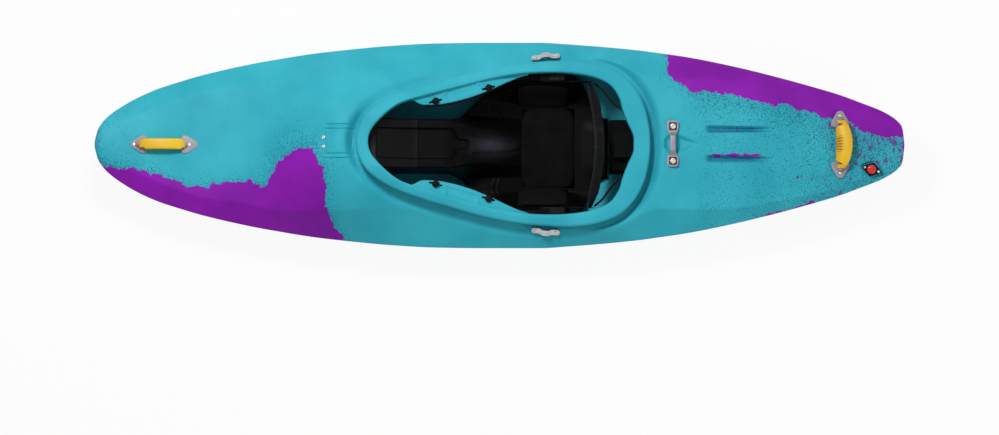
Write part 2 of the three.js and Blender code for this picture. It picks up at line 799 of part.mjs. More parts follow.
function addFastener(name, kind, frame, lift) {
  const isBolt = kind === 'bolt';
  const radius = isBolt ? BOLT_SHANK_RADIUS : SCREW_SHANK_RADIUS;
  const length = isBolt ? BOLT_SHANK_LENGTH : SCREW_SHANK_LENGTH;
  const headRadius = isBolt ? BOLT_HEAD_RADIUS : SCREW_HEAD_RADIUS;
  const headHeight = isBolt ? BOLT_HEAD_HEIGHT : SCREW_HEAD_HEIGHT;
  const raised = new THREE.Matrix4().makeTranslation(0, 0, lift);
  const bolt = boltGeometry(headRadius, headHeight, radius, length);
  addMesh(name, bolt, steel, frame.clone().multiply(raised));
  const hole = holeGeometry(radius, lift - length - CUT_OVERRUN, lift + CUT_OVERRUN);
  hole.applyMatrix4(frame);
  const tool = solidOf(hole);
  hullHoles.push(tool);
  return tool;
}

// Solid with the holes of every fastener that passes through it
function drilled(solid) {
  return hullHoles.reduce((rest, hole) => rest.subtract(hole), solid);
}

function offsetFrame(frame, x, y, z = 0) {
  return frame.clone().multiply(new THREE.Matrix4().makeTranslation(x, y, z));
}

// Grab handle in its own frame: two plates along X, with a grip between them that swings about X
const gripLevel = HANDLE_PLATE_THICKNESS + KNUCKLE_RADIUS + CLEARANCE * 6;

function knuckleGeometry(from, to) {
  const shape = new THREE.Shape();
  shape.absarc(0, gripLevel, KNUCKLE_RADIUS, 0, Math.PI);
  shape.lineTo(-KNUCKLE_RADIUS, HANDLE_PLATE_THICKNESS / 2);
  shape.lineTo(KNUCKLE_RADIUS, HANDLE_PLATE_THICKNESS / 2);
  const geometry = extruded(shape, to - from, ROUND_SIDES / 2);
  geometry.translate(0, 0, from);
  geometry.rotateX(Math.PI / 2);
  geometry.rotateZ(Math.PI / 2);
  return geometry;
}

function gripGeometry(span, rise, lean) {
  const rings = [];
  const height = rise - GRIP_THICKNESS / 2 - gripLevel;
  for (let step = 0; step <= GRIP_STEPS; step += 1) {
    const t = step / GRIP_STEPS;
    const fromEnd = Math.min(t, 1 - t);
    const arch = Math.sin(Math.PI * t) ** 0.8;
    const turn = Math.cos(Math.PI * t) * (rise * Math.PI / span) * 0.8;
    const width = mix(KNUCKLE_RADIUS, GRIP_WIDTH / 2, smooth(0, 0.16, fromEnd));
    const thickness = mix(KNUCKLE_RADIUS, GRIP_THICKNESS / 2, smooth(0, 0.16, fromEnd));
    const centre = new THREE.Vector3((t - 0.5) * span, lean * arch, height * arch);
    const tilt = Math.atan(turn) * smooth(0, 0.12, fromEnd);
    const ring = [];
    for (let i = 0; i < GRIP_SIDES; i += 1) {
      const angle = (i / GRIP_SIDES) * Math.PI * 2;
      const side = Math.sign(Math.cos(angle)) * Math.abs(Math.cos(angle)) ** 0.7 * width;
      const up = Math.sin(angle) * thickness;
      const offset = new THREE.Vector3(-Math.sin(tilt) * up, side, Math.cos(tilt) * up);
      ring.push(offset.add(centre));
    }
    rings.push(ring);
  }
  return loft(rings);
}

function addHandle(name, frame, span, rise, lean, overlaps) {
  const reach = span / 2 + CLEARANCE;
  const grip = gripGeometry(span, rise, lean);
  addMesh(`${name}_grip`, grip, yellowRubber, offsetFrame(frame, 0, 0, gripLevel));
  for (const [label, end] of [['front', -1], ['rear', 1]]) {
    const middle = end * (reach - overlaps[label] + HANDLE_PLATE_LENGTH / 2);
    const corners = handlePlateCornerShares.map(([u, v]) => {
      return [end * u * HANDLE_PLATE_LENGTH, v * HANDLE_PLATE_WIDTH];
    });
    if (end > 0) corners.reverse();
    const plate = plateGeometry(corners, HANDLE_PLATE_LENGTH / 7, HANDLE_PLATE_THICKNESS + CUT_OVERRUN);
    plate.translate(middle, 0, -CUT_OVERRUN);
    const knuckle = knuckleGeometry(reach, reach + KNUCKLE_LENGTH);
    if (end < 0) knuckle.rotateZ(Math.PI);
    plate.applyMatrix4(frame);
    knuckle.applyMatrix4(frame);
    const screwFrame = offsetFrame(frame, end * (reach + KNUCKLE_LENGTH + SCREW_HEAD_RADIUS + CLEARANCE * 2), 0);
    const hole = addFastener(`${name}_screw_${label}`, 'screw', screwFrame, HANDLE_PLATE_THICKNESS + CLEARANCE);
    const solid = onHull(plate).add(solidOf(knuckle)).subtract(hole);
    addSolid(`${name}_plate_${label}`, solid, greyPlastic);
  }
}

function addHandles() {
  const bow = deckFrame(bowHandleStationShare * halfLength, 0);
  const bowOverlaps = { front: BOW_FRONT_OVERLAP, rear: BOW_REAR_OVERLAP };
  addHandle('bow_handle', bow, BOW_GRIP_SPAN, BOW_GRIP_RISE, 0, bowOverlaps);
  const stern = deckFrame(sternHandleStationShare * halfLength, 0);
  const across = stern.clone().multiply(new THREE.Matrix4().makeRotationZ(-Math.PI / 2));
  const sternOverlaps = { front: STERN_OVERLAP, rear: STERN_OVERLAP };
  addHandle('stern_handle', across, STERN_GRIP_SPAN, STERN_GRIP_RISE, STERN_GRIP_LEAN, sternOverlaps);
}

// Side view of a bar that bridges two feet, the feet reaching below Z = 0
function archShape(reach, foot, rise, thickness) {
  const right = [
    [reach - foot - rise, rise - thickness],
    [reach - foot, CLEARANCE],
    [reach - foot, -CUT_OVERRUN],
    [reach, -CUT_OVERRUN],
    [reach, thickness],
    [reach - foot, thickness],
    [reach - foot - rise, rise],
  ];
  const left = right.map(([u, v]) => [-u, v]).reverse();
  return roundedShape(right.concat(left), CLEARANCE);
}

// Security bar: a metal arch across the rear deck, behind the cockpit
function addSecurityBar() {
  const frame = deckFrame(cockpitCentre + halfCockpit + BAR_SETBACK, 0);
  const foot = BAR_FOOT / 2;
  const half = BAR_SPAN / 2;
  const arch = extruded(archShape(half + foot, BAR_FOOT, BAR_RISE, BAR_THICKNESS), BAR_FOOT);
  arch.translate(0, 0, -BAR_FOOT / 2);
  arch.rotateX(Math.PI / 2);
  arch.rotateZ(Math.PI / 2);
  const outline = [
    [-BAR_WAIST / 2, 0],
    [-BAR_FOOT / 2, -half + foot * 0.4],
    [-BAR_FOOT * 0.35, -half - foot],
    [BAR_FOOT * 0.35, -half - foot],
    [BAR_FOOT / 2, -half + foot * 0.4],
    [BAR_WAIST / 2, 0],
    [BAR_FOOT / 2, half - foot * 0.4],
    [BAR_FOOT * 0.35, half + foot],
    [-BAR_FOOT * 0.35, half + foot],
    [-BAR_FOOT / 2, half - foot * 0.4],
  ];
  const plan = plateGeometry(outline, BAR_FOOT / 6, BAR_RISE + CUT_OVERRUN * 3);
  plan.translate(0, 0, -CUT_OVERRUN * 2);
  arch.applyMatrix4(frame);
  plan.applyMatrix4(frame);
  let bar = onHull(arch).intersect(solidOf(plan));
  for (const [label, side] of [['port', -1], ['starboard', 1]]) {
    const place = offsetFrame(frame, 0, side * half);
    const hole = addFastener(`security_bolt_${label}`, 'bolt', place, BAR_THICKNESS + CLEARANCE);
    bar = bar.subtract(hole);
  }
  addSolid('security_bar', bar, aluminium);
}

// Broach bars: small loops on the bevel beside the cockpit
function addBroachBars() {
  for (const [label, side] of [['port', -1], ['starboard', 1]]) {
    const frame = bevelFrame(broachStationShare * halfLength, side, broachBevelShare);
    const foot = BROACH_BAR_LENGTH - BROACH_BOLT_SPAN;
    const profile = archShape(BROACH_BAR_LENGTH / 2, foot, BROACH_BAR_RISE, BROACH_BAR_THICKNESS);
    const bar = extruded(profile, BROACH_BAR_WIDTH, 1);
    bar.translate(0, 0, -BROACH_BAR_WIDTH / 2);
    bar.rotateX(Math.PI / 2);
    bar.applyMatrix4(frame);
    let solid = onHull(bar);
    for (const [end, place] of [['front', -1], ['rear', 1]]) {
      const spot = offsetFrame(frame, (place * BROACH_BOLT_SPAN) / 2, 0);
      const name = `broach_screw_${label}_${end}`;
      solid = solid.subtract(addFastener(name, 'screw', spot, BROACH_BAR_THICKNESS + CLEARANCE));
    }
    addSolid(`broach_bar_${label}`, solid, aluminium);
  }
}

// Drain: a rhombus plate on the deck, a screwed plug and its sealing ring
function addDrain() {
  const x = drainStationShare * halfLength;
  const y = drainOffsetShare * halfBeam;
  const deck = deckFrame(x, y);
  const origin = new THREE.Vector3().setFromMatrixPosition(deck);
  const frame = new THREE.Matrix4().makeRotationZ(Math.PI * 0.9).setPosition(origin);
  const half = DRAIN_PLATE_LENGTH / 2;
  const corners = [[-half, 0], [0, -DRAIN_PLATE_WIDTH / 2], [half, 0], [0, DRAIN_PLATE_WIDTH / 2]];
  const plate = plateGeometry(corners, half / 2, DRAIN_PLATE_THICKNESS + CUT_OVERRUN * 2);
  plate.translate(0, 0, -CUT_OVERRUN * 2);
  plate.applyMatrix4(frame);
  const bore = holeGeometry(DRAIN_STEM_RADIUS + CLEARANCE, -HULL_WALL * 4, CUT_OVERRUN * 2, ROUND_SIDES);
  bore.applyMatrix4(frame);
  const boreTool = solidOf(bore);
  hullHoles.push(boreTool);
  let solid = onHull(plate).subtract(boreTool);
  for (const [label, side] of [['front', 1], ['rear', -1]]) {
    const spot = offsetFrame(frame, (side * DRAIN_SCREW_SPAN) / 2, 0);
    const lift = DRAIN_PLATE_THICKNESS + CLEARANCE;
    solid = solid.subtract(addFastener(`drain_screw_${label}`, 'screw', spot, lift));
  }
  addSolid('drain_plate', solid, blackPlastic);
  const gasketLevel = DRAIN_PLATE_THICKNESS + CLEARANCE;
  const stemHole = DRAIN_STEM_RADIUS + CLEARANCE;
  const ring = new THREE.LatheGeometry([
    new THREE.Vector2(stemHole, 0),
    new THREE.Vector2(DRAIN_CAP_RADIUS - CLEARANCE, 0),
    new THREE.Vector2(DRAIN_CAP_RADIUS - CLEARANCE, GASKET_THICKNESS),
    new THREE.Vector2(stemHole, GASKET_THICKNESS),
    new THREE.Vector2(stemHole, 0),
  ], ROUND_SIDES);
  ring.rotateX(Math.PI / 2);
  addMesh('drain_gasket', ring, blackPlastic, offsetFrame(frame, 0, 0, gasketLevel));
  const capLevel = gasketLevel + GASKET_THICKNESS + CLEARANCE;
  const plug = new THREE.LatheGeometry([
    new THREE.Vector2(0, -DRAIN_STEM_LENGTH),
    new THREE.Vector2(DRAIN_STEM_RADIUS, -DRAIN_STEM_LENGTH),
    new THREE.Vector2(DRAIN_STEM_RADIUS, 0),
    new THREE.Vector2(DRAIN_CAP_RADIUS, 0),
    new THREE.Vector2(DRAIN_CAP_RADIUS, DRAIN_CAP_HEIGHT * 0.6),
    new THREE.Vector2(DRAIN_CAP_RADIUS * 0.85, DRAIN_CAP_HEIGHT),
    new THREE.Vector2(0, DRAIN_CAP_HEIGHT),
  ], ROUND_SIDES);
  plug.rotateX(Math.PI / 2);
  const groove = new THREE.BoxGeometry(DRAIN_CAP_RADIUS * 1.3, DRAIN_CAP_RADIUS / 4, DRAIN_CAP_HEIGHT / 2);
  groove.translate(0, 0, DRAIN_CAP_HEIGHT);
  const slotted = solidOf(plug).subtract(solidOf(groove));
  addMesh('drain_plug', geometryOf(slotted), redPlastic, offsetFrame(frame, 0, 0, capLevel));
}

function addDeckScrews() {
  for (const [label, side] of [['port', -1], ['starboard', 1]]) {
    const frame = deckFrame(deckScrewStationShare * halfLength, side * deckScrewOffsetShare * halfBeam);
    addFastener(`deck_screw_${label}`, 'screw', frame, CLEARANCE);
  }
}

// How far up the side wall a level lies, from the chine to the seam
function wallShare(row, level) {
  return (level - row.keelZ) / (row.seamZ - row.keelZ);
}

function wallY(x, level) {
  const row = hullRow(x);
  return mix(row.chineY, row.seamY, wallShare(row, level));
}

// Footrest: a padded plate on two arms that slide in brackets bolted to the sides
const armLevel = FOOT_PLATE_LOW + FOOT_PLATE_HEIGHT / 2;
const footPlateX = footPlateStationShare * halfLength;
const footPlateWidth = (wallY(footPlateX, armLevel) - FOOT_SIDE_GAP) * 2;
const armY = footPlateWidth / 2 - ARM_INSET;

function addFootBrackets() {
  const middle = sideBoltStationShare * halfLength;
  for (const [label, side] of [['port', -1], ['starboard', 1]]) {
    const innerY = armY - ARM_THICKNESS / 2 - BRACKET_WEB - CLEARANCE;
    const length = halfBeam - innerY;
    const block = new THREE.BoxGeometry(BRACKET_LENGTH, length, BRACKET_HEIGHT);
    block.translate(middle, side * (innerY + length / 2), armLevel);
    const channel = new THREE.BoxGeometry(
      BRACKET_LENGTH + CUT_OVERRUN * 2,
      ARM_THICKNESS + CLEARANCE * 2,
      ARM_HEIGHT + CLEARANCE * 2,
    );
    channel.translate(middle, side * armY, armLevel);
    let bracket = inHull(block).subtract(solidOf(channel));
    for (const [end, place] of [['front', -1], ['rear', 1]]) {
      const x = middle + (place * SIDE_BOLT_SPACING) / 2;
      const frame = wallFrame(x, side, wallShare(hullRow(x), armLevel));
      const hole = addFastener(`side_bolt_${label}_${end}`, 'bolt', frame, CLEARANCE);
      bracket = bracket.subtract(hole);
    }
    addSolid(`footrest_bracket_${label}`, bracket, blackPlastic);
  }
}

function addFootrest() {
  const corners = footPlateCornerShares.map(([u, v]) => [u * footPlateWidth, v * FOOT_PLATE_HEIGHT]);
  const upright = new THREE.Matrix4().makeBasis(
    new THREE.Vector3(0, 1, 0),
    new THREE.Vector3(0, 0, 1),
    new THREE.Vector3(1, 0, 0),
  );
  const plate = plateGeometry(corners, FOOT_PLATE_HEIGHT / 6, FOOT_PLATE_THICKNESS);
  plate.applyMatrix4(upright.clone().setPosition(footPlateX, 0, armLevel));
  addSolid('footrest_plate', inHull(plate), aluminium);
  const inset = corners.map(([u, v]) => [u * footPadShare, v * footPadShare]);
  const pad = plateGeometry(inset, FOOT_PLATE_HEIGHT / 6, FOOT_PAD_THICKNESS);
  const padX = footPlateX + FOOT_PLATE_THICKNESS + CLEARANCE;
  pad.applyMatrix4(upright.clone().setPosition(padX, 0, armLevel));
  addSolid('footrest_pad', inHull(pad), blackFoam);
  const rear = sideBoltStationShare * halfLength - BRACKET_LENGTH / 2;
  const length = rear - padX + BRACKET_LENGTH * 1.1;
  for (const [label, side] of [['port', -1], ['starboard', 1]]) {
    const arm = new THREE.BoxGeometry(length, ARM_THICKNESS, ARM_HEIGHT);
    arm.translate(padX + length / 2, side * armY, armLevel);
    addMesh(`footrest_arm_${label}`, arm, aluminium);
  }
}

// Foam pillars between the hull's floor and its deck
function pillarGeometry(ends, width, topAt, baseZ = 0) {
  const shape = new THREE.Shape();
  shape.moveTo(ends[0], baseZ);
  shape.lineTo(ends[1], baseZ);
  for (let step = PILLAR_STEPS; step >= 0; step -= 1) {
    const x = mix(ends[0], ends[1], step / PILLAR_STEPS);
    shape.lineTo(x, topAt(x));
  }
  const geometry = extruded(shape, width);
  geometry.translate(0, 0, -width / 2);
  geometry.rotateX(Math.PI / 2);
  return geometry;
}

function addPillars() {
  const ends = shares => shares.map(share => share * halfLength);
  const high = () => HULL_HEIGHT;
  const bow = pillarGeometry(ends(bowPillarEndShares), REAR_PILLAR_WIDTH, high);
  addSolid('bow_pillar', drilled(inHull(bow)), blackFoam);

  const frontEnds = ends(frontPillarEndShares);
  const rimFront = cockpitCentre + rimOutlineShares[0][0] * halfCockpit;
  const slope = (x) => {
    const back = smooth(rimFront - RISER_THICKNESS, frontEnds[1], x);
    return mix(rimTopZ(rimFront) - rimRise - HULL_WALL * 2, SEAT_BEAM_HEIGHT, back);
  };
  const front = pillarGeometry(frontEnds, PILLAR_WIDTH, x => (x < rimFront ? HULL_HEIGHT : slope(x)));
  const recessStart = rimFront + RISER_THICKNESS * 2;
  const recess = pillarGeometry(
    [recessStart, frontEnds[1] + CUT_OVERRUN],
    PILLAR_WIDTH * 0.66,
    high,
    SEAT_BEAM_HEIGHT - PILLAR_RECESS,
  );
  addSolid('front_pillar', drilled(inHull(front).subtract(solidOf(recess))), blackPlastic);

  const rearEnds = ends(rearPillarEndShares);
  const shoulder = rearPillarShoulderShare * halfLength;
  const step = rimTopZ(shoulder) - rimRise - HULL_WALL - REAR_PILLAR_STEP / 4;
  const rear = pillarGeometry(rearEnds, REAR_PILLAR_WIDTH, high);
  const notch = new THREE.BoxGeometry(shoulder - rearEnds[0], PILLAR_WIDTH, HULL_HEIGHT);
  notch.translate((shoulder + rearEnds[0]) / 2 - CUT_OVERRUN, 0, step + HULL_HEIGHT / 2);
  addSolid('rear_pillar', drilled(inHull(rear).subtract(solidOf(notch))), blackFoam);
}

// Seat: a moulded block with a centre beam, low thigh channels and raised hip walls
const seatFrontX = frontPillarEndShares[1] * halfLength + CLEARANCE;
const seatRearX = backBandStationShare * halfLength + BAND_THICKNESS / 2;

// Half width of the seat as shares of half the hip width, and its levels as shares of their named heights
const seatPlanShares = [
  [0, 0.349, 1, 0],
  [0.15, 0.349, 0.98, 0],
  [0.22, 0.42, 0.88, 0.04],
  [0.32, 0.66, 0.62, 0.12],
  [0.43, 0.87, 0.34, 0.5],
  [0.53, 0.97, 0.14, 0.92],
  [0.65, 1, 0.03, 1],
  [0.8, 1, 0, 1],
  [0.87, 0.97, 0, 0.25],
  [1, 0.8, 0.03, 0.1],
];

function seatTopZ(x, y) {
  const place = (x - seatFrontX) / (seatRearX - seatFrontX);
  const away = Math.abs(y);
  const floor = SEAT_FLOOR_HEIGHT * (2 - smooth(0.35, 0.65, place));
  const beam = follow(seatPlanShares, place, 2) * (SEAT_BEAM_HEIGHT - floor);
  const hip = follow(seatPlanShares, place, 3) * (SEAT_HIP_HEIGHT - floor);
  const narrowing = smooth(0.14, 0.36, place);
  const flatHalf = SEAT_BEAM_WIDTH * mix(0.46, 0.32, narrowing);
  const footHalf = SEAT_BEAM_WIDTH * mix(0.7, 0.62, narrowing);
  const beamShare = 1 - smooth(flatHalf, footHalf, away);
  const hipShare = smooth(seatHipWidth * 0.3, seatHipWidth * 0.47, away);
  return floor + beam * beamShare + hip * hipShare;
}

// Level under the seat's skin, a wall's thickness in from it on every side
function seatUnderZ(x, y) {
  const around = [[0, 0], [SEAT_WALL, 0], [-SEAT_WALL, 0], [0, SEAT_WALL], [0, -SEAT_WALL]];
  return Math.min(...around.map(([u, v]) => seatTopZ(x + u, y + v))) - SEAT_WALL;
}

// Solid between two levels over a patch of the seat
function seatLayer(startX, endX, rows, columns, halfWidthAt, lowAt, highAt, centreAt = () => 0) {
  const rings = [];
  for (let i = 0; i <= rows; i += 1) {
    const x = mix(startX, endX, i / rows);
    const half = halfWidthAt(x);
    const top = [];
    const bottom = [];
    for (let j = 0; j <= columns; j += 1) {
      const y = centreAt(x) + mix(-half, half, j / columns);
      top.push(new THREE.Vector3(x, y, highAt(x, y)));
      bottom.push(new THREE.Vector3(x, y, lowAt(x, y)));
    }
    rings.push(top.concat(bottom.reverse()));
  }
  return loftLayer(rings, columns);
}

function seatHalfWidth(x) {
  const place = (x - seatFrontX) / (seatRearX - seatFrontX);
  return (follow(seatPlanShares, place, 1) * seatHipWidth) / 2;
}

function addSeat() {
  const outside = seatLayer(seatFrontX, seatRearX, 22, 20, seatHalfWidth, () => 0, seatTopZ);
  const inside = seatLayer(
    seatFrontX + SEAT_WALL,
    seatRearX - SEAT_WALL,
    20,
    18,
    x => seatHalfWidth(x) - SEAT_WALL,
    () => -CUT_OVERRUN,
    seatUnderZ,
  );
  const pan = inHull(outside).subtract(solidOf(inside));
  addSolid('seat_pan', pan, blackPlastic);
  const lifted = height => solidOf(outside).translate([0, 0, height]);

  const [padStart, padEnd] = seatPadEndShares.map(share => share * halfLength);
  const padTop = (x, y) => seatTopZ(x, y) + SEAT_PAD_THICKNESS;
  const padBase = (x, y) => seatTopZ(x, y) - SEAT_PAD_THICKNESS;
  const pad = seatLayer(padStart, padEnd, 5, 8, () => seatHipWidth * 0.28, padBase, padTop);
  addSolid('seat_pad', solidOf(pad).subtract(lifted(CLEARANCE)), blackFoam);

  const [hipStart, hipEnd] = hipPadEndShares.map(share => share * halfLength);
  for (const [label, side] of [['port', -1], ['starboard', 1]]) {
    const centre = () => side * seatHipWidth * 0.355;
    const top = (x, y) => seatTopZ(x, y) + HIP_PAD_THICKNESS;
    const base = (x, y) => seatTopZ(x, y) - HIP_PAD_THICKNESS;
    const hip = seatLayer(hipStart, hipEnd, 5, 4, () => seatHipWidth * 0.065, base, top, centre);
    addSolid(`hip_pad_${label}`, solidOf(hip).subtract(lifted(CLEARANCE * 4)), blackFoam);
  }
}

// Back band: a curved pad across the cockpit, hung on a pin line through its ends
const bandX = backBandStationShare * halfLength;
const bandHalf = seatHipWidth / 2 - BAND_SIDE_GAP;

function bandOffset(y) {
  return -BAND_BOW * (y / bandHalf) ** 2;
}

function addBackBand() {
  const rings = [];
  for (let step = 0; step <= BAND_STEPS; step += 1) {
    const y = mix(-bandHalf, bandHalf, step / BAND_STEPS);
    const end = 1 - smooth(0.72, 1, Math.abs(y) / bandHalf);
    const height = BAND_HEIGHT * mix(0.42, 1, end);
    const thick = BAND_THICKNESS * mix(0.5, 1, end);
    const tab = BAND_TAB_HEIGHT * (1 - smooth(BAND_TAB_WIDTH / 4, BAND_TAB_WIDTH / 2, Math.abs(y)));
    const top = height * 0.52 + tab;
    const low = -height * 0.48;
    const x = bandX + bandOffset(y);
    const outline = [
      [-thick / 2, low * 0.8],
      [-thick / 4, low],
      [thick / 4, low],
      [thick / 2, low * 0.8],
      [thick / 2, top * 0.8],
      [thick / 4, top],
      [-thick / 4, top],
      [-thick / 2, top * 0.8],
    ];
    rings.push(outline.map(([u, w]) => new THREE.Vector3(x + u, y, BAND_PIVOT_HEIGHT + w)));
  }
  addMesh('back_band', loft(rings), blackFabric);
}

// Flat strap between two points, with its width upright
function strapGeometry(from, to, width, thickness) {
  const length = from.distanceTo(to);
  const geometry = new THREE.BoxGeometry(length, width, thickness);
  const along = to.clone().sub(from).normalize();
  const across = new THREE.Vector3(0, 0, 1).cross(along).normalize();
  const upright = along.clone().cross(across);
  geometry.applyMatrix4(new THREE.Matrix4().makeBasis(along, upright, across.negate()));
  geometry.translate(...from.clone().add(to).multiplyScalar(0.5).toArray());
  return geometry;
}

function addRatchets() {
  const ratchetX = ratchetStationShare * halfLength;
  for (const [label, side] of [['port', -1], ['starboard', 1]]) {
    const ratchetY = seatHipWidth / 2 - RATCHET_WIDTH / 2 - CLEARANCE;
    const base = SEAT_HIP_HEIGHT + CLEARANCE * 2;
    const body = new THREE.BoxGeometry(RATCHET_LENGTH, RATCHET_WIDTH, RATCHET_HEIGHT);
    body.translate(0, 0, RATCHET_HEIGHT / 2);
    body.translate(ratchetX, side * ratchetY, base);
    addSolid(`ratchet_base_${label}`, besideHull(body), blackPlastic);
    const lever = new THREE.Shape();
    const thickness = RATCHET_PIN_RADIUS * 2;
    lever.absarc(0, 0, RATCHET_PIN_RADIUS, Math.PI / 2, Math.PI * 1.5);
    lever.lineTo(RATCHET_LEVER_LENGTH, -RATCHET_PIN_RADIUS);
    lever.lineTo(RATCHET_LEVER_LENGTH, -RATCHET_PIN_RADIUS + thickness * 0.6);
    lever.lineTo(0, RATCHET_PIN_RADIUS);
    const leverWidth = RATCHET_WIDTH * 0.7;
    const leverGeometry = extruded(lever, leverWidth, 5);
    leverGeometry.translate(0, 0, -leverWidth / 2);
    leverGeometry.rotateX(Math.PI / 2);
    leverGeometry.rotateZ(Math.PI);
    const pinX = ratchetX + RATCHET_LENGTH / 2 - RATCHET_PIN_RADIUS;
    const pinZ = base + RATCHET_HEIGHT + RATCHET_PIN_RADIUS + CLEARANCE;
    leverGeometry.translate(pinX, side * ratchetY, pinZ);
    addSolid(`ratchet_lever_${label}`, besideHull(leverGeometry), blackPlastic);

    const strapY = bandHalf + STRAP_THICKNESS / 2 + CLEARANCE;
    const bandEnd = new THREE.Vector3(bandX - BAND_BOW + STRAP_WIDTH / 2, side * strapY, BAND_PIVOT_HEIGHT);
    const ratchetEnd = ratchetX + RATCHET_LENGTH / 2;
    const drop = base + RATCHET_HEIGHT / 2 - BAND_PIVOT_HEIGHT;
    const lean = drop / Math.hypot(drop, bandEnd.x - ratchetEnd);
    const strapStartX = ratchetEnd + CLEARANCE + Math.abs(lean) * RATCHET_HEIGHT * 0.6;
    const startY = ratchetY - RATCHET_WIDTH * 0.42;
    const strapStart = new THREE.Vector3(strapStartX, side * startY, base + RATCHET_HEIGHT / 2);
    const strap = strapGeometry(strapStart, bandEnd, STRAP_WIDTH, STRAP_THICKNESS);
    addMesh(`ladder_strap_${label}`, strap, blackPlastic);
  }
}

// Cords from the ends of the back band to the rear of the rim, in points along their route
const cordRouteShares = [
  [0, 0, 0],
  [0.3, 0.25, 0.1],
  [0.65, 0.7, 0.55],
  [1, 1, 1],
];

function addBandCords() {
  const rearX = cockpitCentre + rimOutlineShares[13][0] * halfCockpit;
  const rearY = rimOutlineShares[13][1] * halfCockpitWidth;
  const rearZ = rimTopZ(rearX) - rimRise / 2;
  const gap = CORD_DIAMETER / 2 + CLEARANCE;
  for (const [label, side] of [['port', -1], ['starboard', 1]]) {
    const startX = bandX - BAND_BOW + BAND_THICKNESS / 2;
    const start = new THREE.Vector3(startX, bandHalf - STRAP_THICKNESS, BAND_PIVOT_HEIGHT);
    const end = new THREE.Vector3(rearX - gap, rearY, rearZ);
    const points = cordRouteShares.map(([u, v, w]) => new THREE.Vector3(
      mix(start.x, end.x, u),
      side * mix(start.y, end.y, v),
      mix(start.z, end.z, w),
    ));
    const section = new THREE.Shape();
    section.absarc(0, 0, CORD_DIAMETER / 2, 0, Math.PI * 2);
    const extrudePath = new THREE.CatmullRomCurve3(points);
    const options = { steps: CORD_STEPS, extrudePath, curveSegments: FLAT_SIDES / 2, bevelEnabled: false };
    addMesh(`band_cord_${label}`, new THREE.ExtrudeGeometry(section, options), blackFabric);
  }
}

// Thigh braces: plates under the hooks, held by studs and knobs through slots
function braceOuterY(x) {
  return rimInnerY(x) - RISER_THICKNESS - BRACE_TRAVEL * 0.35;
}

function addThighBraces() {
  const startX = studX - BRACE_TRAVEL;
  const endX = studEndX + BRACE_TRAVEL * 0.7;
  for (const [label, side] of [['port', -1], ['starboard', 1]]) {
    const rings = [];
    for (let step = 0; step <= BRACE_STEPS; step += 1) {
      const x = mix(startX, endX, step / BRACE_STEPS);
      const innerY = hookInnerY(x) - BRACE_OVERHANG;
      const outerY = Math.max(braceOuterY(x), innerY + BRACE_OVERHANG * 4);
      rings.push(hookRing(x, innerY, outerY, HOOK_THICKNESS + CLEARANCE * 2, BRACE_THICKNESS, side));
    }
    let brace = solidOf(loft(rings));
    studDistances.forEach((distance, i) => {
      const frame = hookFrame(side, distance);
      const stud = barGeometry(STUD_RADIUS, -HOOK_THICKNESS - BRACE_THICKNESS / 2, KNOB_HEIGHT * 0.6, FLAT_SIDES);
      stud.applyMatrix4(frame);
      brace = brace.add(solidOf(stud));
      addKnob(`thigh_knob_${label}_${i === 0 ? 'front' : 'rear'}`, frame);
      hullHoles.push(slotTool(side, distance));
    });
    addSolid(`thigh_brace_${label}`, brace, blackPlastic);
  }
}

function addKnob(name, frame) {
  const shape = new THREE.Shape();
  const points = KNOB_LOBES * LOBE_STEPS;
  for (let i = 0; i < points; i += 1) {
    const angle = (i / points) * Math.PI * 2;
    const radius = KNOB_RADIUS - (i % LOBE_STEPS === 0 ? KNOB_LOBE_DEPTH : 0);
    const place = [Math.cos(angle) * radius, Math.sin(angle) * radius];
    if (i === 0) shape.moveTo(...place);
    else shape.lineTo(...place);
  }
  const body = extruded(shape, KNOB_HEIGHT);
  const bore = holeGeometry(STUD_RADIUS, -CUT_OVERRUN, KNOB_HEIGHT * 0.6 + CLEARANCE * 2);
  const knob = solidOf(body).subtract(solidOf(bore));
  addMesh(name, geometryOf(knob), blackPlastic, offsetFrame(frame, 0, 0, CLEARANCE));
}

// Hull last, so that it has every hole
function addHull() {
  const shell = outerForm.subtract(cavityForm(0)).subtract(mouthTool());
  const hull = shell.add(rimSolid(0)).add(hookSolid(1)).add(hookSolid(-1));
  addSolid('hull_shell', drilled(hull), hullPlastic);
}

addHandles();
addSecurityBar();
addBroachBars();
addDrain();
addDeckScrews();
addFootBrackets();
addFootrest();
addPillars();
addSeat();
addBackBand();
addRatchets();
addBandCords();
addThighBraces();
addHull();

export default kayak;
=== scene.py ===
# Whitewater kayak: the moulded hull with its cockpit and deck fittings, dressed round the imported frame.
# Units are metres and +Z is up. The bow is at -X, the stern at +X and starboard at +Y.

import json
import math
from types import SimpleNamespace

import bpy
import numpy as np
from mathutils import Matrix, Vector


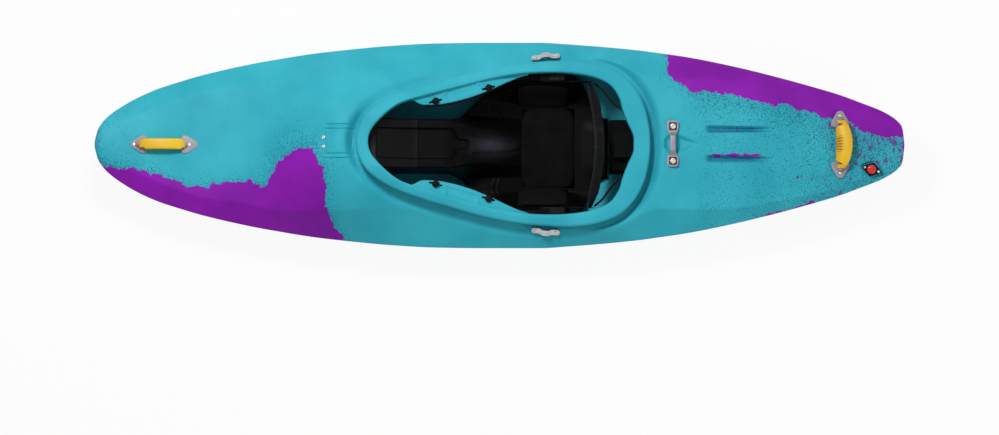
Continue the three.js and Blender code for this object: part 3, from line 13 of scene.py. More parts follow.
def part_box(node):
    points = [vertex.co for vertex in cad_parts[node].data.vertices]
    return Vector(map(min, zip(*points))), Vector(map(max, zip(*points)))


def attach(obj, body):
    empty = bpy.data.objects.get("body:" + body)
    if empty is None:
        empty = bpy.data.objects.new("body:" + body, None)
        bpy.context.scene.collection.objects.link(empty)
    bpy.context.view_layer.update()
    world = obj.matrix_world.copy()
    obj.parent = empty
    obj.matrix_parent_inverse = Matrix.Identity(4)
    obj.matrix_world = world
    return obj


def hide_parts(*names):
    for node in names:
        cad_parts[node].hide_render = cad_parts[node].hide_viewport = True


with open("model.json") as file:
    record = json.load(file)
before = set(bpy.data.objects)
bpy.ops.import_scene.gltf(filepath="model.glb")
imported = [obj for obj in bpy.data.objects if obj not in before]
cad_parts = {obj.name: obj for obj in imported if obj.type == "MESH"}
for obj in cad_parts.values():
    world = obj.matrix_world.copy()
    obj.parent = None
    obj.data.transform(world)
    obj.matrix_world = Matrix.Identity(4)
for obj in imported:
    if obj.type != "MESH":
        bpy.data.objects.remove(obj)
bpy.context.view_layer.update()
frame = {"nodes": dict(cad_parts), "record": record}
SIDES = (("port", -1), ("starboard", 1))
ENDS = (("front", -1), ("rear", 1))

# The photograph: its size in pixels, its scale, and the place of the boat's middle at the seam's level
PHOTO_WIDTH = 999
PHOTO_HEIGHT = 435
METRES_PER_PIXEL = 0.002963
CENTRE_ROW = 145.5
CENTRE_COLUMN = 500
CAMERA_TILT = math.radians(4.3)
CAMERA_DISTANCE = 6

# Sizes of the hull
HALF_LENGTH = 1.2
HALF_BEAM = 0.3065
HULL_HEIGHT = 0.325
HULL_WALL = 0.006
CHINE_ROUND = 0.03
SEAM_ROUND = 0.009
SHOULDER_ROUND = 0.01
END_ROUND = 0.009

# Sizes of the cockpit
HALF_COCKPIT = 0.436
HALF_COCKPIT_WIDTH = 0.246
LIP_THICKNESS = 0.02
LIP_DROP = 0.003
RISER_THICKNESS = 0.008
SKIRT_GAP = 0.012
TRENCH_WIDTH = 0.012
TRENCH_SLOPE = 0.026
HOOK_THICKNESS = 0.007
RIM_RISE = LIP_THICKNESS + SKIRT_GAP
TRENCH_DEPTH = 0.005
RIM_GROOVE_DEPTH = 0.007
COCKPIT_CENTRE = 0.009 * HALF_LENGTH

# Hull sections from bow to stern: the station as a share of half the length; then, as shares of half the
# beam, the half widths at the seam, the shoulder and the chine; then, as shares of the height, the levels of
# the keel, the seam, the shoulder and the middle of the deck.
HULL_SECTION_SHARES = [
    (-1, 0.06, 0.04, 0.03, 0.585, 0.6, 0.612, 0.617),
    (-0.9877, 0.179, 0.12, 0.1, 0.55, 0.592, 0.622, 0.631),
    (-0.968, 0.273, 0.17, 0.17, 0.497, 0.572, 0.612, 0.627),
    (-0.938, 0.362, 0.225, 0.24, 0.428, 0.54, 0.6, 0.618),
    (-0.889, 0.473, 0.29, 0.325, 0.334, 0.503, 0.585, 0.602),
    (-0.84, 0.556, 0.37, 0.395, 0.268, 0.492, 0.575, 0.59),
    (-0.79, 0.619, 0.445, 0.45, 0.213, 0.488, 0.568, 0.582),
    (-0.741, 0.676, 0.505, 0.5, 0.17, 0.486, 0.566, 0.58),
    (-0.691, 0.725, 0.54, 0.54, 0.136, 0.483, 0.57, 0.59),
    (-0.642, 0.768, 0.565, 0.575, 0.11, 0.48, 0.582, 0.612),
    (-0.593, 0.807, 0.605, 0.61, 0.086, 0.475, 0.602, 0.655),
    (-0.543, 0.841, 0.645, 0.64, 0.067, 0.47, 0.632, 0.735),
    (-0.494, 0.873, 0.655, 0.67, 0.053, 0.465, 0.667, 0.812),
    (-0.444, 0.901, 0.655, 0.69, 0.043, 0.46, 0.702, 0.885),
    (-0.395, 0.923, 0.648, 0.71, 0.035, 0.457, 0.73, 0.945),
    (-0.346, 0.943, 0.64, 0.725, 0.027, 0.455, 0.735, 0.953),
    (-0.296, 0.962, 0.635, 0.735, 0.019, 0.455, 0.725, 0.93),
    (-0.247, 0.976, 0.632, 0.74, 0.011, 0.455, 0.71, 0.88),
    (-0.167, 0.993, 0.65, 0.745, 0, 0.455, 0.687, 0.805),
    (-0.04, 1, 0.7, 0.75, 0, 0.455, 0.655, 0.7),
    (0.03, 1, 0.75, 0.75, 0, 0.455, 0.64, 0.672),
    (0.1, 1, 0.8, 0.75, 0, 0.455, 0.635, 0.66),
    (0.173, 0.983, 0.825, 0.74, 0.016, 0.458, 0.633, 0.655),
    (0.247, 0.961, 0.825, 0.73, 0.034, 0.465, 0.635, 0.66),
    (0.3, 0.942, 0.775, 0.715, 0.046, 0.472, 0.638, 0.67),
    (0.346, 0.923, 0.68, 0.7, 0.058, 0.48, 0.64, 0.68),
    (0.395, 0.897, 0.63, 0.68, 0.076, 0.486, 0.643, 0.682),
    (0.444, 0.87, 0.63, 0.66, 0.097, 0.492, 0.64, 0.675),
    (0.494, 0.836, 0.635, 0.63, 0.118, 0.498, 0.63, 0.665),
    (0.593, 0.754, 0.615, 0.565, 0.172, 0.497, 0.605, 0.632),
    (0.691, 0.659, 0.545, 0.49, 0.236, 0.491, 0.577, 0.598),
    (0.79, 0.552, 0.46, 0.405, 0.311, 0.489, 0.556, 0.572),
    (0.84, 0.493, 0.4, 0.36, 0.354, 0.49, 0.549, 0.562),
    (0.889, 0.422, 0.335, 0.3, 0.397, 0.491, 0.541, 0.553),
    (0.938, 0.348, 0.27, 0.235, 0.437, 0.492, 0.533, 0.543),
    (0.968, 0.285, 0.21, 0.18, 0.455, 0.494, 0.526, 0.534),
    (0.9877, 0.22, 0.15, 0.13, 0.468, 0.495, 0.519, 0.525),
    (0.996, 0.165, 0.11, 0.09, 0.478, 0.496, 0.514, 0.518),
    (1, 0.06, 0.04, 0.03, 0.485, 0.497, 0.508, 0.511),
]
INNER_END_SHARE = 0.968

# Cockpit rim from the front to the back: the inner and then the outer edge, as shares of half the cockpit's
# length and half its width
RIM_OUTLINE_SHARES = [
    (-0.918, 0, -1, 0),
    (-0.905, 0.12, -0.99, 0.133),
    (-0.847, 0.259, -0.935, 0.331),
    (-0.711, 0.458, -0.793, 0.518),
    (-0.534, 0.56, -0.582, 0.663),
    (-0.331, 0.66, -0.358, 0.778),
    (-0.093, 0.771, -0.113, 0.892),
    (0.111, 0.837, 0.098, 0.96),
    (0.301, 0.858, 0.301, 0.995),
    (0.485, 0.843, 0.498, 1),
    (0.634, 0.789, 0.675, 0.946),
    (0.73, 0.699, 0.797, 0.849),
    (0.787, 0.554, 0.899, 0.663),
    (0.811, 0.41, 0.964, 0.434),
    (0.848, 0.241, 0.991, 0.217),
    (0.884, 0.096, 0.999, 0.096),
    (0.886, 0, 1, 0),
]
# Level of the rim's top as shares of the height, against the share of half the cockpit's length
RIM_TOP_SHARES = [
    (-1, 0.985),
    (-0.93, 1),
    (-0.85, 0.975),
    (-0.7, 0.915),
    (-0.44, 0.85),
    (-0.3, 0.803),
    (-0.15, 0.765),
    (0, 0.747),
    (0.3, 0.737),
    (0.65, 0.737),
    (0.9, 0.73),
    (1, 0.72),
]
# Inner edge of the thigh hooks, as shares of half the cockpit's length and half its width
HOOK_EDGE_SHARES = [
    (-0.68, 0.455),
    (-0.6, 0.457),
    (-0.53, 0.455),
    (-0.46, 0.458),
    (-0.36, 0.485),
    (-0.23, 0.548),
    (-0.09, 0.644),
    (0.04, 0.75),
    (0.12, 0.807),
    (0.2, 0.845),
]
HOOK_END_SHARES = (-0.66, 0.17)
HOOK_LEVEL_SHARES = (0.812, 0.715)
STUD_PLACE_SHARES = ((-0.459, 0.5), (-0.087, 0.675))


# Numbers along tables
def follow(rows, at, column):
    """Smooth value of one column of a share table, with no overshoot between its rows."""
    table = np.asarray(rows, float)
    keys, values = table[:, 0], table[:, column]
    slopes = np.diff(values) / np.diff(keys)
    before, after = slopes[:-1], slopes[1:]
    agree = before * after > 0
    middle = np.where(agree, 2 * before * after / np.where(agree, before + after, 1), 0)
    tangents = np.concatenate(([slopes[0]], middle, [slopes[-1]]))
    at = np.clip(np.asarray(at, float), keys[0], keys[-1])
    i = np.searchsorted(keys[1:-1], at, side="left")
    span = keys[i + 1] - keys[i]
    t = (at - keys[i]) / span
    keep = (1 + 2 * t) * (1 - t) ** 2
    leave, arrive = t * (1 - t) ** 2, t * t * (t - 1)
    ends = keep * values[i] + (1 - keep) * values[i + 1]
    return ends + span * (leave * tangents[i] + arrive * tangents[i + 1])


def smooth(low, high, value):
    t = np.clip((np.asarray(value, float) - low) / (high - low), 0, 1)
    return t * t * (3 - 2 * t)


def window(value, start, end):
    """1 between two smooth edges and 0 outside, each edge given as where it begins and where it ends."""
    return smooth(*start, value) * (1 - smooth(*end, value))


def mix(start, end, share):
    return start + (end - start) * share


def lower_of(a, b, blend):
    """The lower of two levels, with the crease between them rounded."""
    return (a + b - np.sqrt((a - b) ** 2 + blend**2)) / 2


def ridge(distance, width):
    return np.exp(-((distance / width) ** 2))


def arc_angles(first, last, count):
    return np.radians(np.linspace(first, last, count))


def ring_angles(count):
    return np.linspace(0, 2 * math.pi, count, endpoint=False)


def rectangle(low_x, high_x, low_y, high_y):
    return [(low_x, low_y), (high_x, low_y), (high_x, high_y), (low_x, high_y)]


def smooth_stretch(p0, p1, p2, p3, d0, d1, d2, t):
    """Part of a smooth curve from the second to the third of four points, given the roots of their gaps."""
    leave = ((p1 - p0) / d0 - (p2 - p0) / (d0 + d1) + (p2 - p1) / d1) * d1
    arrive = ((p2 - p1) / d1 - (p3 - p1) / (d1 + d2) + (p3 - p2) / d2) * d1
    cubic = 2 * (p1 - p2) + leave + arrive
    return p1 + leave * t + (3 * (p2 - p1) - 2 * leave - arrive) * t**2 + cubic * t**3


# Meshes
def new_object(name, points, faces):
    mesh = bpy.data.meshes.new(name)
    mesh.from_pydata([tuple(p) for p in np.asarray(points, float)], [], faces)
    mesh.validate()
    made = bpy.data.objects.new(name, mesh)
    bpy.context.scene.collection.objects.link(made)
    return made


def grid_faces(rows, columns, wrap_rows=False, wrap_columns=True):
    row_count = rows if wrap_rows else rows - 1
    column_count = columns if wrap_columns else columns - 1
    faces = []
    for i in range(row_count):
        here, there = i * columns, ((i + 1) % rows) * columns
        for j in range(column_count):
            k = (j + 1) % columns
            faces.append((here + j, here + k, there + k, there + j))
    return faces


def loft(name, rings, wrap=False):
    """Closed skin over rings, given as an array of rows, points and coordinates."""
    rings = np.asarray(rings, float)
    rows, columns, _ = rings.shape
    points = rings.reshape(-1, 3)
    faces = grid_faces(rows, columns, wrap_rows=wrap)
    if not wrap:
        last = (rows - 1) * columns
        middles = rings[[0, -1]].mean(axis=1)
        points = np.concatenate((points, middles))
        first_middle = rows * columns
        for j in range(columns):
            k = (j + 1) % columns
            faces.append((k, j, first_middle))
            faces.append((last + j, last + k, first_middle + 1))
    return outward(new_object(name, points, faces))


def vectors(items, name):
    """One vector of each vertex or normal of a mesh, as an array of rows."""
    values = np.empty(len(items) * 3)
    items.foreach_get(name, values)
    return values.reshape(-1, 3)


def store(mesh, name, values):
    """Keeps one number for each vertex, for a material to read."""
    attribute = mesh.attributes.new(name, "FLOAT", "POINT")
    attribute.data.foreach_set("value", np.ascontiguousarray(values, np.float32))


def outward(made):
    """Turns a closed mesh's faces out."""
    mesh = made.data
    mesh.calc_loop_triangles()
    triangles = np.empty(len(mesh.loop_triangles) * 3, int)
    mesh.loop_triangles.foreach_get("vertices", triangles)
    a, b, c = vectors(mesh.vertices, "co")[triangles].reshape(-1, 3, 3).transpose(1, 0, 2)
    if np.einsum("ij,ij->i", a, np.cross(b, c)).sum() < 0:
        mesh.flip_normals()
    return made


def applied(made):
    """Turns an object's modifiers into its mesh."""
    graph = bpy.context.evaluated_depsgraph_get()
    mesh = bpy.data.meshes.new_from_object(made.evaluated_get(graph))
    made.modifiers.clear()
    made.data = mesh
    return made


def combine(target, tool, operation):
    cut = target.modifiers.new("combine", "BOOLEAN")
    cut.operation = operation
    cut.solver = "MANIFOLD"
    cut.object = tool
    applied(target)
    bpy.data.objects.remove(tool)
    return target


def shade(made, degrees=35):
    made.data.shade_smooth()
    made.data.set_sharp_from_angle(angle=math.radians(degrees))
    return made


def finish_piece(made, slot, body, *nodes, material=None):
    """Gives a piece its material, the slot's own unless another is given, puts it under its body and hides
    the nodes that it replaces.
    """
    made.data.materials.clear()
    made.data.materials.append(material or materials[slot])
    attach(made, body)
    if nodes:
        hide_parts(*nodes)
    return made


# Camera, light and floor
def add_camera():
    data = bpy.data.cameras.new("camera")
    data.type = "ORTHO"
    data.ortho_scale = PHOTO_WIDTH * METRES_PER_PIXEL
    camera = bpy.data.objects.new("camera", data)
    back = Vector((0, -math.sin(CAMERA_TILT), math.cos(CAMERA_TILT)))
    up = Vector((0, math.cos(CAMERA_TILT), math.sin(CAMERA_TILT)))
    seam = follow(HULL_SECTION_SHARES, 0, 5) * HULL_HEIGHT
    below = (PHOTO_HEIGHT / 2 - CENTRE_ROW) * METRES_PER_PIXEL
    camera.location = Vector((0, 0, seam)) - up * below + back * CAMERA_DISTANCE
    camera.rotation_euler = (CAMERA_TILT, 0, 0)
    bpy.context.scene.collection.objects.link(camera)
    bpy.context.scene.camera = camera


def add_lamp(name, place, target, size, power):
    data = bpy.data.lights.new(name, "AREA")
    data.shape = "RECTANGLE"
    data.size, data.size_y = size
    data.energy = power
    lamp = bpy.data.objects.new(name, data)
    lamp.location = place
    lamp.rotation_euler = (Vector(target) - Vector(place)).to_track_quat("-Z", "Y").to_euler()
    bpy.context.scene.collection.objects.link(lamp)


class Shader:
    """Builds a material's nodes."""

    def __init__(self, name):
        self.material = bpy.data.materials.new(name)
        self.material.use_nodes = True
        self.tree = self.material.node_tree
        self.surface = self.tree.nodes["Principled BSDF"]
        self.output = self.tree.nodes["Material Output"]
        self.place = self.add("TexCoord", output="Object")

    def add(self, kind, inputs=None, output=0, **settings):
        made = self.tree.nodes.new("ShaderNode" + kind)
        for key, value in settings.items():
            setattr(made, key, value)
        for key, value in (inputs or {}).items():
            self.put(made.inputs[key], value)
        return made.outputs[output]

    def put(self, socket, value):
        if isinstance(value, bpy.types.NodeSocket):
            self.tree.links.new(value, socket)
        else:
            socket.default_value = value

    def math(self, operation, *values):
        return self.add("Math", dict(enumerate(values)), operation=operation)

    def noise(self, scale, detail=2.0, roughness=0.5, place=None):
        values = {"Vector": place or self.place, "Scale": scale, "Detail": detail, "Roughness": roughness}
        return self.add("TexNoise", values)

    def attribute(self, name):
        """Number that the mesh keeps for each vertex."""
        return self.add("Attribute", attribute_name=name, output="Fac")

    def stretched(self, factors):
        return self.add("Mapping", {"Vector": self.place, "Scale": factors})

    def ramp(self, value, low, high):
        """0 below the first level and 1 above the second, smooth between."""
        values = {"Value": value, "From Min": low, "From Max": high}
        return self.add("MapRange", values, interpolation_type="SMOOTHSTEP")

    def spread(self, value, low, high):
        """A noise value spread between two numbers."""
        values = {"Value": value, "From Min": 0.3, "From Max": 0.7, "To Min": low, "To Max": high}
        return self.add("MapRange", values)

    def blend(self, share, first, second):
        """Colour between two colours."""
        made = self.tree.nodes.new("ShaderNodeMix")
        made.data_type = "RGBA"
        colours = [s for s in made.inputs if s.type == "RGBA"]
        self.put(made.inputs[0], share)
        self.put(colours[0], first)
        self.put(colours[1], second)
        return next(s for s in made.outputs if s.type == "RGBA")

    def bump(self, height, strength, distance, under=None):
        values = {"Height": height, "Strength": strength, "Distance": distance}
        if under is not None:
            values["Normal"] = under
        return self.add("Bump", values)

    def orange_peel(self):
        return self.bump(self.noise(PEEL_SCALE, 3, 0.6), 0.35, PEEL_DEPTH)

    def set(self, **values):
        for key, value in values.items():
            self.put(self.surface.inputs[key.replace("_", " ").title().replace("Ior", "IOR")], value)


def colour(red, green, blue):
    """Colour written as it looks, from 0 to 255, turned to the linear numbers that a shader takes."""
    linear = [((c / 255 + 0.055) / 1.055) ** 2.4 if c > 10 else c / 255 / 12.92 for c in (red, green, blue)]
    return (*linear, 1)


WHITE = (1, 1, 1, 1)
PEEL_SCALE = 420
PEEL_DEPTH = 0.00012
BRUSHED_SCALES = (12, 900, 900)
WEAVE_SCALE = 1500.0
FLOOR_HALF = 30.0
FLOOR_GREY = 0.93
SOFT_LIGHT = 0.3


def add_floor():
    shader = Shader("studio_floor")
    shader.set(base_color=(FLOOR_GREY, FLOOR_GREY, FLOOR_GREY, 1), roughness=0.9)
    path = shader.tree.nodes.new("ShaderNodeLightPath")
    seen = shader.math("ADD", path.outputs["Is Camera Ray"], path.outputs["Is Glossy Ray"])
    seen = shader.math("MINIMUM", shader.math("ADD", seen, path.outputs["Is Transmission Ray"]), 1.0)
    glow = shader.add("Emission", {"Color": WHITE, "Strength": 1.0})
    share = shader.math("MULTIPLY", seen, FLOOR_GREY)
    both = shader.add("MixShader", {0: share, 1: shader.surface.outputs[0], 2: glow})
    shader.put(shader.output.inputs["Surface"], both)
    corners = [(x, y, 0) for x, y in rectangle(-FLOOR_HALF, FLOOR_HALF, -FLOOR_HALF, FLOOR_HALF)]
    floor = new_object("studio_floor", corners, [(0, 1, 2, 3)])
    floor.data.materials.append(shader.material)


def add_world():
    world = bpy.data.worlds.new("studio")
    world.use_nodes = True
    bpy.context.scene.world = world
    tree = world.node_tree
    soft = tree.nodes["Background"]
    soft.inputs["Color"].default_value = WHITE
    soft.inputs["Strength"].default_value = SOFT_LIGHT
    bright = tree.nodes.new("ShaderNodeBackground")
    bright.inputs["Color"].default_value = WHITE
    bright.inputs["Strength"].default_value = 1.0
    path = tree.nodes.new("ShaderNodeLightPath")
    pick = tree.nodes.new("ShaderNodeMixShader")
    seen = path.outputs["Is Camera Ray"]
    for kind in ("Is Glossy Ray", "Is Transmission Ray"):
        either = tree.nodes.new("ShaderNodeMath")
        either.operation = "MAXIMUM"
        tree.links.new(seen, either.inputs[0])
        tree.links.new(path.outputs[kind], either.inputs[1])
        seen = either.outputs[0]
    tree.links.new(seen, pick.inputs[0])
    tree.links.new(soft.outputs[0], pick.inputs[1])
    tree.links.new(bright.outputs[0], pick.inputs[2])
    tree.links.new(pick.outputs[0], tree.nodes["World Output"].inputs["Surface"])


def add_studio():
    bpy.context.scene.view_settings.view_transform = "Standard"
    add_camera()
    add_world()
    middle = (0, 0, 0.15)
    add_lamp("key", (-0.8, 1.5, 3.5), middle, size=(0.9, 0.6), power=86)
    add_lamp("fill", (2.8, -1.4, 1.6), middle, size=(1.6, 1.0), power=16)
    add_floor()


# Materials
def moulded(name, dark, light, roughness, gloss=0.5):
    """Moulded plastic or rubber: a slight mottle, a fine orange peel and an uneven gloss."""
    shader = Shader(name)
    mottle = shader.noise(9, 3)
    shader.set(
        base_color=shader.blend(shader.spread(mottle, 0, 1), dark, light),
        roughness=shader.spread(shader.noise(60, 3), roughness - 0.05, roughness + 0.07),
        specular_ior_level=gloss,
        normal=shader.orange_peel(),
    )
    return shader.material


def seat_material():
    """Black moulded plastic, with a painted highlight: lighter on the seat's tongue, where the plastic would
    catch the light.
    """
    shader = Shader("seat_plastic")
    painted_highlight = shader.attribute("painted_highlight")
    # Noise breaks up the painted highlight
    highlight_breakup = shader.spread(shader.noise(70, 5, 0.7), 0.6, 1.0)
    shader.set(
        base_color=shader.blend(shader.math("MULTIPLY", painted_highlight, highlight_breakup), colour(8, 8, 9), colour(66, 62, 72)),
        roughness=shader.spread(shader.noise(60, 3), 0.36, 0.48),
        specular_ior_level=0.04,
        normal=shader.orange_peel(),
    )
    return shader.material


def grip_material():
    """Yellow rubber with painted shade: brown in the hollows between the finger ribs and a little darker on
    the ribbed forward face.
    """
    shader = Shader("yellow_rubber")
    hollow = shader.attribute("shade_share")
    mottle = shader.spread(shader.noise(9, 3), 0, 1)
    yellow = shader.blend(mottle, colour(236, 182, 14), colour(246, 200, 28))
    shader.set(
        base_color=shader.blend(shader.math("MULTIPLY", hollow, 0.8), yellow, colour(150, 90, 8)),
        roughness=shader.spread(shader.noise(60, 3), 0.4, 0.52),
        normal=shader.orange_peel(),
    )
    return shader.material


def metal(name, dark, light, roughness):
    """Brushed metal, with fine lines along one axis and dulled patches."""
    shader = Shader(name)
    lines = shader.noise(1.0, 2, 0.6, place=shader.stretched(BRUSHED_SCALES))
    patches = shader.noise(45, 3)
    shader.set(
        base_color=shader.blend(shader.spread(patches, 0, 1), dark, light),
        metallic=1.0,
        roughness=shader.math(
            "ADD", shader.spread(lines, -0.05, 0.06), shader.spread(patches, roughness, roughness + 0.1)
        ),
        normal=shader.bump(lines, 0.18, 0.00008),
    )
    return shader.material


def foam(name, dark, light):
    """Closed-cell foam: small cells and soft dents."""
    shader = Shader(name)
    cells = shader.add("TexVoronoi", {"Vector": shader.place, "Scale": 620.0}, output="Distance")
    dents = shader.noise(26, 4)
    shader.set(
        base_color=shader.blend(shader.spread(dents, 0, 1), dark, light),
        roughness=0.92,
        specular_ior_level=0.12,
        normal=shader.bump(cells, 0.5, 0.0003, shader.bump(dents, 0.4, 0.0015)),
    )
    return shader.material


def woven(name, dark, light):
    """Plain weave: two sets of threads crossing, with sheen."""
    shader = Shader(name)
    parts = shader.add("SeparateXYZ", {"Vector": shader.place})
    split = parts.node
    across = shader.math("SINE", shader.math("MULTIPLY", split.outputs["Y"], WEAVE_SCALE))
    upright = shader.math("SINE", shader.math("MULTIPLY", split.outputs["Z"], WEAVE_SCALE))
    weave = shader.math("MULTIPLY", across, upright)
    wear = shader.noise(30, 4)
    tone = shader.math("ADD", shader.math("MULTIPLY", weave, 0.2), shader.spread(wear, 0.1, 0.9))
    shader.set(
        base_color=shader.blend(tone, dark, light),
        roughness=0.88,
        specular_ior_level=0.12,
        sheen_weight=0.04,
        sheen_roughness=0.5,
        normal=shader.bump(weave, 0.5, 0.0004, shader.bump(wear, 0.3, 0.001)),
    )
    return shader.material


TEAL = colour(60, 188, 206)
DEEP_TEAL = colour(46, 172, 192)
SPECK_TEAL = colour(14, 96, 118)
PURPLE = colour(154, 28, 190)
DEEP_PURPLE = colour(128, 22, 162)
BLOTCH_PURPLE = colour(104, 40, 136)
# Darker blue painted inside the aft grooves as shade
GROOVE_SHADE_BLUE = colour(20, 104, 142)

# Noise of the hull's paint and skin: its scale, its detail and how rough it is
RAGGED_NOISE = (34, 5, 0.62)
FINE_NOISE = (230, 3, 0.6)
GRAIN_NOISE = (280, 2, 0.5)
SPOT_NOISE = (62, 4, 0.6)
MOTTLE_NOISE = (7, 3)
PEEL_NOISE = (300, 2, 0.5)
DENT_NOISE = (16, 3, 0.5)
GLOSS_NOISE = (40, 4)
SPOT_STRETCH = (1.5, 0.75, 1)
PAINT_BORDER = SimpleNamespace(ragged=0.045, fine=0.012, blur=0.0012)
SPECK_LOOK = SimpleNamespace(gain=0.2, cut=(0.72, 0.76), strength=0.75)
BLOTCH_LOOK = SimpleNamespace(gain=0.22, cut=(0.74, 0.8), strength=0.8)
# How strongly the painted shade in the aft grooves shows
GROOVE_SHADE_STRENGTH = 0.6
HULL_ROUGHNESS = (0.5, 0.6)
PEEL_BUMP = (0.22, 0.00015)
DENT_BUMP = (0.2, 0.0005)


def wander(shader, noise, reach):
    """Noise about zero, half the reach to either side."""
    return shader.math("MULTIPLY", shader.math("SUBTRACT", shader.noise(*noise), 0.5), reach)


def dotted(shader, noise, amount, look):
    """Dots where noise and the amount of an attribute together pass the cut."""
    return shader.ramp(shader.math("ADD", noise, shader.math("MULTIPLY", amount, look.gain)), *look.cut)


def hull_material():
    """Moulded plastic in two colours, whose border, specks and blotches follow the hull's own attributes,
    with painted shade in the aft grooves.
    """
    shader = Shader("hull_plastic")
    edge = shader.attribute("purple")
    specks = shader.attribute("specks")
    blotches = shader.attribute("blotches")
    ragged = wander(shader, RAGGED_NOISE, PAINT_BORDER.ragged)
    fine = wander(shader, FINE_NOISE, PAINT_BORDER.fine)
    border = shader.math("ADD", shader.math("ADD", edge, ragged), fine)
    is_purple = shader.ramp(border, -PAINT_BORDER.blur, PAINT_BORDER.blur)
    speck = dotted(shader, shader.noise(*GRAIN_NOISE), specks, SPECK_LOOK)
    grooves = shader.attribute("grooves")
    spots = shader.noise(*SPOT_NOISE, place=shader.stretched(SPOT_STRETCH))
    blotch = dotted(shader, spots, blotches, BLOTCH_LOOK)
    mottle = shader.spread(shader.noise(*MOTTLE_NOISE), 0, 1)
    teal = shader.blend(mottle, DEEP_TEAL, TEAL)
    purple = shader.blend(mottle, DEEP_PURPLE, PURPLE)
    # Painted shade: the inside of the aft deck grooves turns darker blue
    teal = shader.blend(shader.math("MULTIPLY", grooves, GROOVE_SHADE_STRENGTH), teal, GROOVE_SHADE_BLUE)
    teal = shader.blend(shader.math("MULTIPLY", speck, SPECK_LOOK.strength), teal, SPECK_TEAL)
    teal = shader.blend(shader.math("MULTIPLY", blotch, BLOTCH_LOOK.strength), teal, BLOTCH_PURPLE)
    peel = shader.noise(*PEEL_NOISE)
    dents = shader.noise(*DENT_NOISE)
    shader.set(
        base_color=shader.blend(is_purple, teal, purple),
        roughness=shader.spread(shader.noise(*GLOSS_NOISE), *HULL_ROUGHNESS),
        specular_ior_level=0.16,
        normal=shader.bump(peel, *PEEL_BUMP, shader.bump(dents, *DENT_BUMP)),
    )
    return shader.material


# Hull form
def hull_levels(x):
    station = np.asarray(x, float) / HALF_LENGTH
    names = ("seam_y", "shoulder_y", "chine_y", "keel_z", "seam_z", "shoulder_z", "deck_z")
    scales = (HALF_BEAM,) * 3 + (HULL_HEIGHT,) * 4
    values = {
        name: follow(HULL_SECTION_SHARES, station, column + 1) * scale
        for column, (name, scale) in enumerate(zip(names, scales))
    }
    return SimpleNamespace(**values)


def crown(levels, y):
    return mix(levels.deck_z, levels.shoulder_z, (y / levels.shoulder_y) ** 2)


def rounded_corner(before, at, after, reach, steps):
    """Points that round a corner, as an array of steps, stations and coordinates."""

    def towards(to):
        gap = to - at
        length = np.linalg.norm(gap, axis=-1, keepdims=True)
        return gap / length * np.minimum(reach, 0.4 * length)

    t = np.linspace(0, 1, steps)[:, None, None]
    return at + (1 - t) ** 3 * towards(before) + t**3 * towards(after)


def straight(start, end, steps):
    t = np.linspace(0, 1, steps + 2)[1:-1, None, None]
    return start + (end - start) * t


def half_sections(x, counts):
    """Half sections from the keel to the middle of the deck, as an array of points, stations and (y, z)."""
    floor_count, corner_count, wall_count, bevel_count, deck_count = counts
    levels = hull_levels(x)
    pair = lambda y, z: np.stack(np.broadcast_arrays(y, z), axis=-1).astype(float)
    keel = pair(levels.chine_y * 0, levels.keel_z)
    chine = pair(levels.chine_y, levels.keel_z)
    seam = pair(levels.seam_y, levels.seam_z)
    shoulder = pair(levels.shoulder_y, levels.shoulder_z)
    slope = 2 * (levels.deck_z - levels.shoulder_z) / levels.shoulder_y
    inboard = shoulder + pair(-levels.shoulder_y, slope * levels.shoulder_y)
    at_chine = rounded_corner(keel, chine, seam, CHINE_ROUND, corner_count)
    at_seam = rounded_corner(chine, seam, shoulder, SEAM_ROUND, corner_count)
    at_shoulder = rounded_corner(seam, shoulder, inboard, SHOULDER_ROUND, corner_count)
    share = np.linspace(0, 1, deck_count + 1)[1:, None]
    leave = at_shoulder[-1]
    deck_y = leave[:, 0] * (1 - share)
    lift = leave[:, 1] - crown(levels, leave[:, 0])
    deck = pair(deck_y, crown(levels, deck_y) + lift * (1 - share) ** 6)
    pieces = [
        keel[None],
        straight(keel, at_chine[0], floor_count),
        at_chine,
        straight(at_chine[-1], at_seam[0], wall_count),
        at_seam,
        straight(at_seam[-1], at_shoulder[0], bevel_count),
        at_shoulder,
        deck,
    ]
    half = np.concatenate(pieces)
    from_end = np.minimum(1, (HALF_LENGTH - np.abs(x)) / END_ROUND)
    size = np.sqrt(np.maximum(1 - (1 - from_end) ** 2, 1e-6))
    half[..., 0] *= size
    half[..., 1] = mix(levels.seam_z, half[..., 1], size)
    top_from = 1 + floor_count + corner_count + wall_count + corner_count
    return half, top_from


def rim_edge(column_x, column_y, steps):
    """Closed curve through one edge of the rim, with the same number of steps in each stretch."""
    side = [(row[column_x], row[column_y]) for row in RIM_OUTLINE_SHARES]
    places = side + [(u, -v) for u, v in side[-2:0:-1]]
    points = np.array([(COCKPIT_CENTRE + u * HALF_COCKPIT, v * HALF_COCKPIT_WIDTH) for u, v in places])
    around = [np.roll(points, shift, axis=0)[:, None] for shift in (1, 0, -1, -2)]
    gaps = [np.sqrt(np.linalg.norm(b - a, axis=-1, keepdims=True)) for a, b in zip(around, around[1:])]
    t = np.linspace(0, 1, steps, endpoint=False)[None, :, None]
    return smooth_stretch(*around, *gaps, t).reshape(-1, 2)


RIM_STEPS = 12
RIM_CORNER = 0.006
inner_edge = rim_edge(0, 1, RIM_STEPS)
outer_edge = rim_edge(2, 3, RIM_STEPS)
rim_out = (outer_edge - inner_edge) / np.linalg.norm(outer_edge - inner_edge, axis=1, keepdims=True)


def rim_top(x):
    return follow(RIM_TOP_SHARES, (x - COCKPIT_CENTRE) / HALF_COCKPIT, 1) * HULL_HEIGHT


